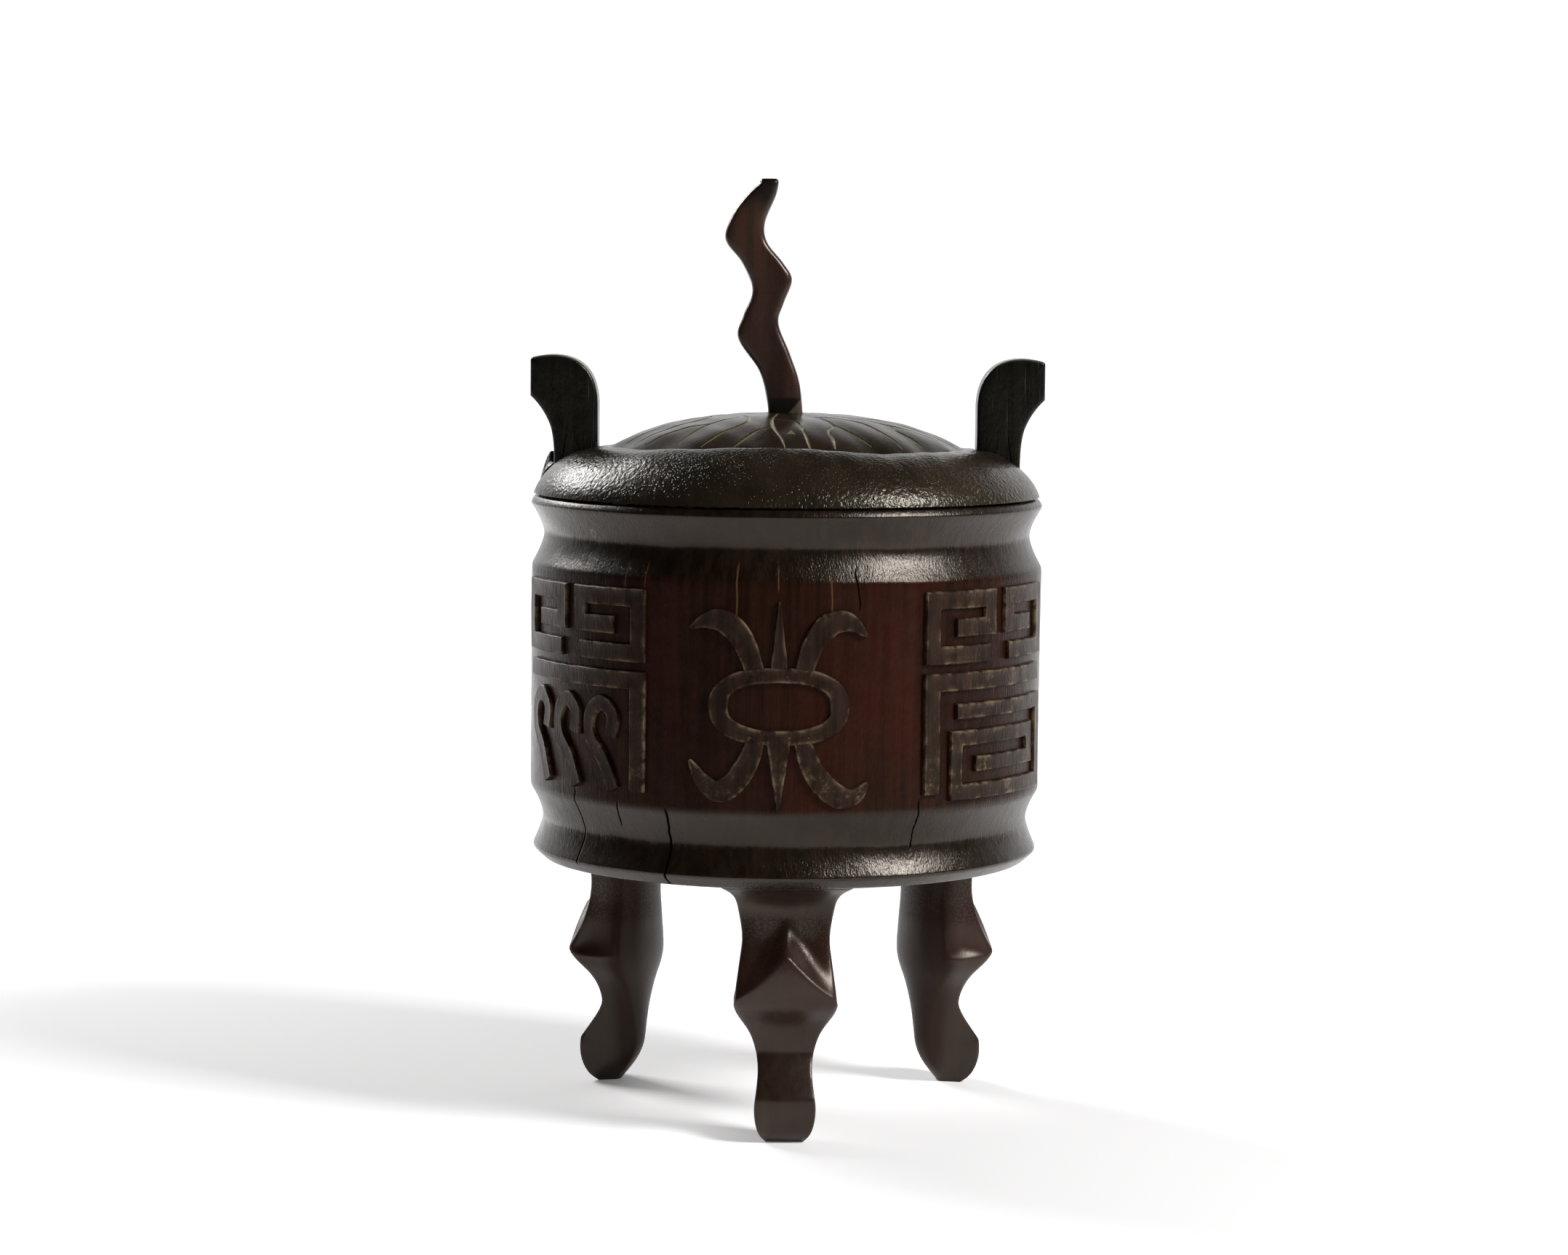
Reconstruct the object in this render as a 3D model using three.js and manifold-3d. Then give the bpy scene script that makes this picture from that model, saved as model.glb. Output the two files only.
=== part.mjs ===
// Carved bamboo incense burner: a cup on three curved legs with two ears on its
// rim, a lotus-leaf lid and a flat wavy stem as its finial.
// Millimetres, +Z up. The origin is on the floor under the middle of the cup,
// and the front leg stands towards -Y.

import * as THREE from "three";
import { mergeVertices } from "three/addons/utils/BufferGeometryUtils.js";
import Module from "manifold-3d";

const wasm = await Module();
wasm.setup();

// Driving dimensions of the cup
const WALL_R = 55;
const CAVITY_R = 40.5;
const UNDERSIDE_Z = 54;
const UNDERSIDE_R = 52;
const RING_R = 54.6;
const RING_Z = 56.4;
const WALL_LOW_Z = 69.5;
const WALL_HIGH_Z = 117.3;
const LIP_R = 55.2;
const LIP_Z = 130.4;
const RIM_Z = 132;
const THROAT_R = 52.3;
const COVE_POWER = 1.5;
const FLOOR_Z = 61;
const TURN_STEPS = 48;

// Driving dimensions of the ears
const EAR_INNER_R = 40.7;
const EAR_OUTER_R = 55.2;
const EAR_WAIST_R = 49.8;
const EAR_WAIST_Z = 142;
const EAR_LIP_Z = 153.2;
const EAR_SHOULDER_Z = 152;
const EAR_TOP_Z = 162;
const EAR_WIDTH = 10;
const EAR_ROOT = 6;

// Driving dimensions of the legs
const LEG_ANGLES = [271, 31, 151];
const KNEE_R = 50;
const KNEE_APEX_Z = 40;
const KNEE_CORNER_Z = 29.2;
const LEG_WAIST_R = 44.4;
const LEG_WAIST_Z = 47.5;
const ANKLE_Z = 18.2;
const BACK_BULGE = 2;
const SCOOP_DEPTH = 1.6;
const FLANK_HOLLOW = 2;

// Driving dimensions of the carving on the wall
const RELIEF = 0.9;
const RELIEF_ROOT = 0.8;
const HOOK_STROKE = 3.6;
const BAR_STROKE = 3.8;
const CURL_STROKE = 3.2;
const RUN_STEP = 10;
const OVAL_STEPS = 18;
const OVAL_HALF_WIDTH = 12.4;
const OVAL_HALF_HEIGHT = 6.4;
const OVAL_SQUARENESS = 0.8;
const ORNAMENT_Z = 92;
const ORNAMENT_SHIFT = -1.2;
const PANEL_Z = 93.2;
const PANEL_ANGLE = 53.5;
const PANEL_HALF_WIDTH = 19.6;
const PANEL_HALF_HEIGHT = 20;

// Driving dimensions of the lid and its stem
const GAP = 0.3;
const LID_R = 54.6;
const CREST_R = 42;
const CREST_Z = 143.5;
const CREST_TURN = 1.71;
const VALLEY_R = 38.2;
const DOME_Z = 149.9;
const LID_INNER_R = 37.6;
const LID_INNER_Z = 145.2;
const VEIN_FORKS = 8;
const VEIN_WIDTH = 1.6;
const VEIN_DEPTH = 0.9;
const STEM_THICKNESS = 5.6;
const STEM_SOCKET = 2.7;
const STEM_TOP_Z = 200;

// A closed geometry becomes a solid once the vertices on its seams are merged
function solid(geometry) {
  geometry.deleteAttribute("normal");
  geometry.deleteAttribute("uv");
  const merged = mergeVertices(geometry, 1e-4);
  const triangles = [];
  for (let i = 0; i < merged.index.count; i += 3) {
    const [a, b, c] = [0, 1, 2].map((k) => merged.index.getX(i + k));
    if (a !== b && b !== c && c !== a) {
      triangles.push(a, b, c);
    }
  }
  return new wasm.Manifold(
    new wasm.Mesh({
      numProp: 3,
      vertProperties: new Float32Array(merged.attributes.position.array),
      triVerts: new Uint32Array(triangles),
    }),
  );
}

function mesh(name, shape, color, roughness) {
  const result = shape.getMesh();
  const geometry = new THREE.BufferGeometry();
  geometry.setAttribute("position", new THREE.BufferAttribute(new Float32Array(result.vertProperties), 3));
  geometry.setIndex([...result.triVerts]);
  geometry.computeVertexNormals();
  const material = new THREE.MeshStandardMaterial({ color, roughness, metalness: 0 });
  const object = new THREE.Mesh(geometry, material);
  object.name = name;
  return object;
}

// Rings of points, all of the same count and counter-clockwise seen from the
// last ring, joined into a closed skin
function skin(rings, closed = false) {
  const count = rings[0].length;
  const positions = rings.flat().flatMap((point) => [point.x, point.y, point.z]);
  const triangles = [];
  const bands = closed ? rings.length : rings.length - 1;
  for (let j = 0; j < bands; j += 1) {
    const low = j * count;
    const high = ((j + 1) % rings.length) * count;
    for (let i = 0; i < count; i += 1) {
      const next = (i + 1) % count;
      triangles.push(low + i, low + next, high + next, low + i, high + next, high + i);
    }
  }
  if (!closed) {
    for (const [ring, turned] of [[0, true], [rings.length - 1, false]]) {
      const centre = new THREE.Vector3();
      rings[ring].forEach((point) => centre.addScaledVector(point, 1 / count));
      const hub = positions.length / 3;
      positions.push(centre.x, centre.y, centre.z);
      for (let i = 0; i < count; i += 1) {
        const edge = [ring * count + i, ring * count + ((i + 1) % count)];
        triangles.push(...(turned ? edge.reverse() : edge), hub);
      }
    }
  }
  const geometry = new THREE.BufferGeometry();
  geometry.setAttribute("position", new THREE.Float32BufferAttribute(positions, 3));
  geometry.setIndex(triangles);
  return solid(geometry);
}

// A profile of (radius, height) points turned about +Z
function turned(profile) {
  const geometry = new THREE.LatheGeometry(profile, TURN_STEPS);
  geometry.rotateX(Math.PI / 2);
  return solid(geometry);
}

// A hollow moulding between two edges, deepest halfway up
function cove(low, high, steps) {
  const points = [];
  for (let i = 0; i <= steps; i += 1) {
    const edge = low.clone().lerp(high, i / steps);
    const across = (2 * i) / steps - 1;
    edge.x -= (edge.x - THROAT_R) * (1 - Math.abs(across) ** COVE_POWER);
    points.push(edge);
  }
  return points;
}

function cup() {
  return turned([
    new THREE.Vector2(0, UNDERSIDE_Z),
    new THREE.Vector2(UNDERSIDE_R, UNDERSIDE_Z),
    ...cove(new THREE.Vector2(RING_R, RING_Z), new THREE.Vector2(WALL_R, WALL_LOW_Z), 6),
    ...cove(new THREE.Vector2(WALL_R, WALL_HIGH_Z), new THREE.Vector2(LIP_R, LIP_Z), 6),
    new THREE.Vector2(LIP_R - 0.9, RIM_Z),
    new THREE.Vector2(CAVITY_R, RIM_Z),
    new THREE.Vector2(CAVITY_R, FLOOR_Z + 5),
    new THREE.Vector2(CAVITY_R - 5, FLOOR_Z),
    new THREE.Vector2(0, FLOOR_Z),
  ]);
}

// An ear in profile, radius to the right and height up, cut through and
// extruded along the rim
function ear(angle) {
  const outline = new THREE.Shape();
  outline.moveTo(EAR_INNER_R, RIM_Z - EAR_ROOT);
  outline.lineTo(EAR_WAIST_R + 1, RIM_Z - EAR_ROOT);
  outline.quadraticCurveTo(EAR_WAIST_R - 0.6, EAR_WAIST_Z, EAR_WAIST_R + 1.2, EAR_WAIST_Z + 5);
  outline.quadraticCurveTo(EAR_WAIST_R + 2.6, EAR_LIP_Z - 2.6, EAR_OUTER_R, EAR_LIP_Z);
  outline.lineTo(EAR_OUTER_R, EAR_TOP_Z - 1.4);
  outline.quadraticCurveTo(EAR_OUTER_R - 0.2, EAR_TOP_Z - 0.4, EAR_OUTER_R - 4, EAR_TOP_Z);
  outline.quadraticCurveTo(EAR_INNER_R + 0.6, EAR_TOP_Z - 0.2, EAR_INNER_R, EAR_SHOULDER_Z);
  outline.closePath();
  const geometry = new THREE.ExtrudeGeometry(outline, {
    depth: EAR_WIDTH,
    bevelEnabled: false,
    curveSegments: 6,
  });
  geometry.rotateX(Math.PI / 2);
  geometry.translate(0, EAR_WIDTH / 2, 0);
  geometry.rotateZ(THREE.MathUtils.degToRad(angle));
  return solid(geometry);
}

// Outer radius of a leg up its middle: the round foot with its crisp top edge,
// the ankle and the knee
const FOOT_SIDE = [
  new THREE.Vector2(44.6, 0),
  new THREE.Vector2(46.6, 1.6),
  new THREE.Vector2(48.2, 5.4),
  new THREE.Vector2(48.3, 9.8),
];
const SHIN_SIDE = new THREE.SplineCurve([
  new THREE.Vector2(48.3, 9.8),
  new THREE.Vector2(45.6, 13.6),
  new THREE.Vector2(42.9, ANKLE_Z),
  new THREE.Vector2(44.7, 24.4),
  new THREE.Vector2(48.9, 29),
  new THREE.Vector2(KNEE_R, 33),
  new THREE.Vector2(KNEE_R, KNEE_APEX_Z),
]);

// Outer radius above the waist, where the leg sweeps out to the ring
const THIGH_SIDE = new THREE.SplineCurve([
  new THREE.Vector2(LEG_WAIST_R, LEG_WAIST_Z),
  new THREE.Vector2(45.2, 49.6),
  new THREE.Vector2(46.9, 51.5),
  new THREE.Vector2(49.1, 52.9),
  new THREE.Vector2(51.8, UNDERSIDE_Z),
]);

// Radius of the back of a leg
const LEG_BACK = [
  new THREE.Vector2(41.4, 0),
  new THREE.Vector2(40.6, 1.2),
  new THREE.Vector2(38.9, 3.2),
  new THREE.Vector2(37.2, 5.6),
  new THREE.Vector2(36.2, 8.4),
  new THREE.Vector2(36, 12),
];

// Half the width of a leg seen from the front, against height
const LEG_FRONT = new THREE.SplineCurve([
  new THREE.Vector2(4.1, 0),
  new THREE.Vector2(5.9, 2.4),
  new THREE.Vector2(6.75, 7),
  new THREE.Vector2(6.1, 12),
  new THREE.Vector2(5.75, 16),
  new THREE.Vector2(7.2, 22),
  new THREE.Vector2(10.2, 27),
  new THREE.Vector2(10.9, 30.5),
  new THREE.Vector2(10, 37),
  new THREE.Vector2(9.2, 42.5),
  new THREE.Vector2(9.9, 48),
  new THREE.Vector2(11.1, 51.8),
  new THREE.Vector2(14.4, UNDERSIDE_Z),
]);

// The x of a curve whose y only rises, at a height
function across(points, height) {
  const above = points.findIndex((point) => point.y >= height);
  if (above === 0) {
    return points[0].x;
  }
  if (above < 0) {
    return points[points.length - 1].x;
  }
  const [low, high] = [points[above - 1], points[above]];
  return THREE.MathUtils.mapLinear(height, low.y, high.y, low.x, high.x);
}

const CURVE_SAMPLES = 80;
const LEG_SIDE_POINTS = [...FOOT_SIDE, ...SHIN_SIDE.getPoints(CURVE_SAMPLES).slice(1)];
const THIGH_SIDE_POINTS = THIGH_SIDE.getPoints(CURVE_SAMPLES);
const LEG_FRONT_POINTS = LEG_FRONT.getPoints(CURVE_SAMPLES * 2);

// Brings the largest value of rise * (1 - rise) ** 2 to one
const SCOOP_PEAK = 27 / 4;

// Outer radius of a scoop, which narrows from the knee to the waist and is
// hollowed on each side of a ridge up the middle
function scoopReach(side, rise) {
  const narrowing = (KNEE_R - LEG_WAIST_R) * (1 - (1 - rise) ** 2.1);
  const hollow = Math.sin(Math.PI * Math.abs(side) ** 0.8) ** 1.8;
  const deepening = SCOOP_PEAK * rise * (1 - rise) ** 2;
  return KNEE_R - narrowing - SCOOP_DEPTH * hollow * deepening;
}

// One level of a leg as a ring of points, with x outwards and y across. The
// front columns sit at frontZ(side), and the flanks and the back at z. Within
// the scoops, rise runs from 0 at the knee's edge to 1 at the waist
function legRing(z, frontZ, rise = null) {
  const half = across(LEG_FRONT_POINTS, z);
  const backHalf = half * THREE.MathUtils.lerp(0.3, 1, THREE.MathUtils.smoothstep(z, 5, 26));
  const back = across(LEG_BACK, z);
  const sideways = z > LEG_WAIST_Z ? THIGH_SIDE_POINTS : LEG_SIDE_POINTS;
  const ring = [];
  for (const side of [-1, -0.65, -0.3, 0, 0.3, 0.65, 1]) {
    const height = frontZ(side);
    const reach = rise === null ? across(sideways, height) : scoopReach(side, rise);
    const y = side * half;
    ring.push(new THREE.Vector3(Math.sqrt(reach ** 2 - y ** 2), y, height));
  }
  const corner = ring[ring.length - 1];
  const hollow = rise === null ? 0 : FLANK_HOLLOW * (1 - Math.exp(-rise / 0.1)) * (1 - rise) ** 1.5;
  const flank = (corner.x + back) / 2;
  const flankHalf = (half + backHalf) / 2 - hollow;
  ring.push(new THREE.Vector3(flank, flankHalf, z));
  ring.push(new THREE.Vector3(back, backHalf, z));
  ring.push(new THREE.Vector3(back - BACK_BULGE * (backHalf / 10), 0, z));
  ring.push(new THREE.Vector3(back, -backHalf, z));
  ring.push(new THREE.Vector3(flank, -flankHalf, z));
  return ring;
}

// A leg: level rows up to the ankle, rows that bend up to the chevron of the
// knee, the two scoops above it, and level rows again up into the cup's floor
function leg(angle) {
  const kneeEdge = (side) => THREE.MathUtils.lerp(KNEE_APEX_Z, KNEE_CORNER_Z, Math.abs(side));
  const rings = [0, 0.6, 1.8, 5, 9.8, 12, 15, ANKLE_Z].map((z) => legRing(z, () => z));
  for (const rise of [0.3, 0.6, 0.8, 0.92, 1]) {
    const z = THREE.MathUtils.lerp(ANKLE_Z, KNEE_CORNER_Z, rise);
    rings.push(legRing(z, (side) => THREE.MathUtils.lerp(ANKLE_Z, kneeEdge(side), rise)));
  }
  for (const rise of [0.07, 0.2, 0.4, 0.65, 1]) {
    const z = THREE.MathUtils.lerp(KNEE_CORNER_Z, LEG_WAIST_Z, rise);
    rings.push(legRing(z, (side) => THREE.MathUtils.lerp(kneeEdge(side), LEG_WAIST_Z, rise), rise));
  }
  for (const z of [49.6, 51.5, 52.9, UNDERSIDE_Z, UNDERSIDE_Z + 1.6]) {
    rings.push(legRing(z, () => z));
  }
  return skin(rings).rotate([0, 0, angle]);
}

// A point of the wall: u runs round it from the middle of a side, v is height
function onWall(u, v, radius) {
  const angle = u / WALL_R - Math.PI / 2;
  return new THREE.Vector3(radius * Math.cos(angle), radius * Math.sin(angle), v);
}

// A raised stroke that follows a path on the wall, with sloping sides
function stroke(path, halfWidth, closed = false) {
  const count = path.length;
  const rings = path.map((point, i) => {
    const before = path[closed ? (i + count - 1) % count : Math.max(i - 1, 0)];
    const after = path[closed ? (i + 1) % count : Math.min(i + 1, count - 1)];
    const arriving = point.clone().sub(before).normalize();
    const leaving = after.clone().sub(point).normalize();
    const along = arriving.clone().add(leaving).normalize();
    const straight = Math.max(along.dot(leaving), along.dot(arriving), 0.6);
    const normal = new THREE.Vector2(-along.y, along.x);
    const half = halfWidth(i / (count - 1)) / straight;
    const place = (offset, radius) => {
      const spot = point.clone().addScaledVector(normal, offset);
      return onWall(spot.x, spot.y, radius);
    };
    const top = Math.max(half - 0.25, 0.1);
    const root = half + 0.2;
    const outer = WALL_R + RELIEF;
    const inner = WALL_R - RELIEF_ROOT;
    return [place(-top, outer), place(-root, inner), place(root, inner), place(top, outer)];
  });
  return skin(rings, closed);
}

// Corners joined by straight runs, cut short where they bend round the wall
function run(corners) {
  const path = [new THREE.Vector2(...corners[0])];
  for (let i = 1; i < corners.length; i += 1) {
    const start = new THREE.Vector2(...corners[i - 1]);
    const end = new THREE.Vector2(...corners[i]);
    const pieces = Math.max(Math.ceil(Math.abs(end.x - start.x) / RUN_STEP), 1);
    for (let k = 1; k <= pieces; k += 1) {
      path.push(start.clone().lerp(end, k / pieces));
    }
  }
  return path;
}

function curve(points, samples) {
  return new THREE.SplineCurve(points.map((point) => new THREE.Vector2(...point))).getPoints(samples);
}

// Middle lines of the four horns, no two of them alike, with the way each one
// turns: outwards and upwards
const HORNS = [
  [-1, 1, [[4.8, 6.6], [6.4, 11.4], [8.6, 15.2], [11.6, 17.3], [15, 17.4], [18.4, 15.7]]],
  [1, 1, [[4.9, 6.6], [6.6, 12.2], [9.2, 16], [12, 17.4], [15, 16.9], [17.9, 14.3]]],
  [-1, -1, [[4.4, 6.6], [6.4, 11.8], [9.3, 16], [12.6, 17.5], [15.6, 15.6], [18.4, 11.3]]],
  [1, -1, [[4.6, 6.6], [7, 13], [10.2, 17], [13.2, 18.7], [16, 18.2], [18.3, 15.6]]],
];

// The ornament in the middle of a side: an oval ring, a spike above and below
// it, and four horns that curl outwards
function ornament() {
  const oval = [];
  for (let i = 0; i < OVAL_STEPS; i += 1) {
    const turn = (2 * Math.PI * i) / OVAL_STEPS;
    const [c, s] = [Math.cos(turn), Math.sin(turn)];
    const u = OVAL_HALF_WIDTH * Math.sign(c) * Math.abs(c) ** OVAL_SQUARENESS;
    const v = OVAL_HALF_HEIGHT * Math.sign(s) * Math.abs(s) ** OVAL_SQUARENESS;
    oval.push(new THREE.Vector2(u, v));
  }
  const shapes = [[oval, (f) => 1.45 + 0.45 * Math.cos(2 * Math.PI * f) ** 2, true]];
  for (const [up, length, half] of [[1, 21.5, 1.8], [-1, 22, 2.4]]) {
    shapes.push([run([[0, up * 6], [0, up * length]]), (f) => half * (1 - f) + 0.15, false]);
  }
  for (const [out, up, horn] of HORNS) {
    const path = curve(horn.map(([u, v]) => [out * u, up * v]), 7);
    shapes.push([path, (f) => 1.75 + 0.75 * Math.sin(Math.PI * f) - 1.55 * f ** 4, false]);
  }
  const lift = new THREE.Vector2(ORNAMENT_SHIFT, ORNAMENT_Z);
  return shapes.map(([path, half, closed]) => {
    const raised = path.map((point) => point.clone().add(lift));
    return stroke(raised, half, closed);
  });
}

// A panel of shallow strokes: a row of two square hooks, a bar with a post at
// its inner end, and below the bar either three curls or a square spiral
function panel(side, curled) {
  const [w, h] = [PANEL_HALF_WIDTH, PANEL_HALF_HEIGHT];
  const hook = [[-13.4, 14.2], [-3.4, 14.2], [-3.4, h], [-w, h], [-w, 8.6], [-3.4, 8.6]];
  const marks = [
    [run(hook), HOOK_STROKE],
    [run(hook.map(([u, v]) => [-u, v])), HOOK_STROKE],
    [run([[-w, 3], [w, 3], [w, -h]]), BAR_STROKE],
  ];
  if (curled) {
    for (const u of [-13, -1.2, 10]) {
      const rise = [[u + 3.6, -h], [u + 0.6, -14], [u - 3.2, -9.5], [u - 3.2, -4.6]];
      const turn = [[u, -2.2], [u + 3.2, -4.6], [u + 2.6, -9]];
      marks.push([curve([...rise, ...turn], 8), CURL_STROKE]);
    }
  } else {
    const outer = [[13.2, -3.2], [-w, -3.2], [-w, -h], [13.2, -h]];
    const inner = [[13.2, -8.8], [-13.6, -8.8], [-13.6, -14.4], [7.6, -14.4]];
    marks.push([run([...outer, ...inner]), CURL_STROKE]);
  }
  const place = new THREE.Vector2(side * WALL_R * THREE.MathUtils.degToRad(PANEL_ANGLE), PANEL_Z);
  return marks.map(([path, width]) => {
    const moved = path.map((point) => new THREE.Vector2(-side * point.x, point.y).add(place));
    return stroke(moved, () => width / 2);
  });
}

function carvedBody() {
  const strokes = [...ornament(), ...panel(-1, true), ...panel(1, false)];
  const carving = wasm.Manifold.union(strokes);
  return wasm.Manifold.union([
    cup(),
    ear(0),
    ear(180),
    ...LEG_ANGLES.map(leg),
    carving,
    carving.rotate([0, 0, 180]),
  ]);
}

// Rise and fall of the ring's crest: highest left of the front, lowest behind
function crestWave(angle) {
  const fromTop = Math.atan2(Math.sin(angle + CREST_TURN), Math.cos(angle + CREST_TURN));
  const front = 1.5 * Math.exp(-((fromTop / 0.45) ** 2));
  const behind = 1.2 * THREE.MathUtils.smoothstep(Math.sin(angle), -0.5, 0.3);
  return front - 0.9 - behind + 0.15 * Math.sin(9 * angle + 2);
}

// Height of the lid's upper side: a bulging ring of wall with a gently wavy
// crest, a shallow valley, and the dome inside it
function lidTop(radius, angle) {
  const dome = DOME_Z - 0.0028 * radius ** 2 - 1.7e-6 * radius ** 4;
  if (radius <= VALLEY_R) {
    return dome;
  }
  const wave = crestWave(angle);
  if (radius <= CREST_R) {
    const rise = (CREST_R - radius) / (CREST_R - VALLEY_R);
    return CREST_Z - 1.1 * rise ** 2 + wave * (1 - rise);
  }
  const fall = (radius - CREST_R) / (LID_R - CREST_R);
  const seat = RIM_Z + GAP;
  return seat + (CREST_Z + wave * (1 - fall) - seat) * Math.max(1 - fall ** 1.5, 0) ** 0.7;
}

// The lid before its notches and veins, as rings of points from the middle of
// its hollow underside, round its edge, to the middle of its dome
function lidBlank() {
  const seat = RIM_Z + GAP;
  const under = [[1, LID_INNER_Z], [16, 144.4], [30, 141], [LID_INNER_R, seat], [54, seat]];
  const over = [54.45, 53.6, 52, 49.5, 46, CREST_R, VALLEY_R, 30, 19, 1];
  const rings = [];
  const ringAt = (radius, height) => {
    const ring = [];
    for (let i = 0; i < TURN_STEPS; i += 1) {
      const angle = (2 * Math.PI * i) / TURN_STEPS;
      ring.push(new THREE.Vector3(radius * Math.cos(angle), radius * Math.sin(angle), height(angle)));
    }
    return ring;
  };
  under.forEach(([radius, z]) => rings.push(ringAt(radius, () => z)));
  over.forEach((radius) => rings.push(ringAt(radius, (angle) => lidTop(radius, angle))));
  return skin(rings);
}

// A vein of the leaf: a shallow groove that follows a path over the dome
function vein(points) {
  const path = curve(points.map(([radius, degrees]) => {
    const angle = THREE.MathUtils.degToRad(degrees);
    return [radius * Math.cos(angle), radius * Math.sin(angle)];
  }), 4);
  const rings = path.map((point, i) => {
    const before = path[Math.max(i - 1, 0)];
    const after = path[Math.min(i + 1, path.length - 1)];
    const along = after.clone().sub(before).normalize();
    const z = lidTop(point.length(), 0);
    const place = (offset, height) =>
      new THREE.Vector3(point.x - along.y * offset, point.y + along.x * offset, z + height);
    return [place(-VEIN_WIDTH, VEIN_DEPTH), place(0, -VEIN_DEPTH), place(VEIN_WIDTH, VEIN_DEPTH)];
  });
  return skin(rings);
}

// Forked veins, each with a stem near the middle and two curved branches
function veins() {
  const grooves = [];
  for (let i = 0; i < VEIN_FORKS; i += 1) {
    const angle = 262 + (360 / VEIN_FORKS) * i;
    grooves.push(vein([[9, angle - 3], [17, angle], [25, angle - 3], [36.5, angle + 8]]));
    grooves.push(vein([[16, angle], [20, angle + 5], [28, angle + 15], [36.5, angle + 19]]));
  }
  return wasm.Manifold.union(grooves);
}

function box(sizeX, sizeY, sizeZ, x, y, z) {
  const geometry = new THREE.BoxGeometry(sizeX, sizeY, sizeZ);
  geometry.translate(x, y, z);
  return solid(geometry);
}

function leafLid() {
  const depth = 30;
  const notchWidth = EAR_WIDTH + 1.4;
  const inner = EAR_INNER_R - 0.5;
  const stemFoot = stemOutline();
  const [left, right] = [stemFoot[0].x, stemFoot[stemFoot.length - 1].x];
  const socketDepth = STEM_SOCKET + GAP;
  return wasm.Manifold.difference([
    lidBlank(),
    box(depth, notchWidth, depth, inner + depth / 2, 0, CREST_Z),
    box(depth, notchWidth, depth, -inner - depth / 2, 0, CREST_Z),
    box(
      right - left + 2 * GAP,
      STEM_THICKNESS + 2 * GAP,
      2 * socketDepth,
      (left + right) / 2,
      0,
      DOME_Z,
    ),
    veins(),
  ]);
}

// The stem's outline, up its left side and down its right
function stemOutline() {
  const foot = DOME_Z - STEM_SOCKET;
  const left = [[-4.1, foot], [-4.4, 152], [-6.2, 158.8], [-10.8, 165.8], [-9.6, 171], [-7.8, 176.2],
    [-10.1, 182], [-13.7, 187], [-12.1, 192.4], [-9.5, 196.8], [-7.6, STEM_TOP_Z - 1]];
  const right = [[-2.3, STEM_TOP_Z - 0.6], [-2.9, 196.4], [-5.2, 190.6], [-4.7, 186.4], [-1.2, 182],
    [0.7, 178.4], [-1, 173.4], [-2.1, 169], [0.4, 162.6], [2.6, 156], [3.5, foot]];
  return [...curve(left, 20), new THREE.Vector2(-5, STEM_TOP_Z), ...curve(right, 20)];
}

function lidFinial() {
  const bevel = 1;
  const outline = new THREE.Shape(stemOutline());
  const geometry = new THREE.ExtrudeGeometry(outline, {
    depth: STEM_THICKNESS - 2 * bevel,
    bevelEnabled: true,
    bevelThickness: bevel,
    bevelSize: bevel,
    bevelOffset: -bevel,
    bevelSegments: 1,
  });
  geometry.rotateX(Math.PI / 2);
  geometry.translate(0, STEM_THICKNESS / 2 - bevel, 0);
  return solid(geometry);
}

const burner = new THREE.Group();
burner.add(mesh("carved_body", carvedBody(), 0x2a1812, 0.38));
burner.add(mesh("leaf_lid", leafLid(), 0x2e2a22, 0.34));
burner.add(mesh("lid_finial", lidFinial(), 0x3a1f16, 0.36));

export default burner;
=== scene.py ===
import math

import bpy
import numpy as np
from mathutils import Matrix, Vector


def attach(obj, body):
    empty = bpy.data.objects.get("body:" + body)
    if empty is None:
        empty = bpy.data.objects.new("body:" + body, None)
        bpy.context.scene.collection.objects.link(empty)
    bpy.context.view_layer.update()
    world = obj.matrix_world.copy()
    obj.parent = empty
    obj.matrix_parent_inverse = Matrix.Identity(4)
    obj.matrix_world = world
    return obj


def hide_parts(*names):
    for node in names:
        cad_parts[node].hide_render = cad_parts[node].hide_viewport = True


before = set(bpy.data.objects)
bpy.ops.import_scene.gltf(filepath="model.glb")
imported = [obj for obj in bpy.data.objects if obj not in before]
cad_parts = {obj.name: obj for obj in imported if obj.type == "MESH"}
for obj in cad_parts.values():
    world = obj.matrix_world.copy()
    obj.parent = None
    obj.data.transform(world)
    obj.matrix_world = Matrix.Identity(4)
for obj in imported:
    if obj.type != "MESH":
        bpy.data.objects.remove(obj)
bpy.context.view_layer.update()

# Millimetres throughout, in the frame's own axes: +Z up, the front leg towards -Y
MM = 0.001

# Driving dimensions of the cup
WALL_R = 55
CAVITY_R = 40.5
UNDERSIDE_Z = 54
UNDERSIDE_R = 52
RING_R = 54.6
RING_Z = 56.4
WALL_LOW_Z = 69.5
WALL_HIGH_Z = 117.3
LIP_R = 55.2
LIP_Z = 130.4
RIM_Z = 132
THROAT_R = 52.3
COVE_POWER = 1.5
COVE_STEPS = 24
RIM_CHAMFER = 0.9
FLOOR_Z = 61
FLOOR_CHAMFER = 5
CUP_COLUMNS = 288
# Radius of the innermost ring of the cup's two faces and of the lid's underside
HUB_R = 2

# Driving dimensions of the ears
EAR_INNER_R = 40.7
EAR_OUTER_R = 55.2
EAR_WAIST_R = 49.8
EAR_WAIST_Z = 142
EAR_LIP_Z = 153.2
EAR_SHOULDER_Z = 152
EAR_TOP_Z = 162
EAR_WIDTH = 10
EAR_ROOT = 6
EAR_EDGE = 0.7
EAR_CLEARANCE = 0.7
EAR_MIDDLE = (46.5, 150)

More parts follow.
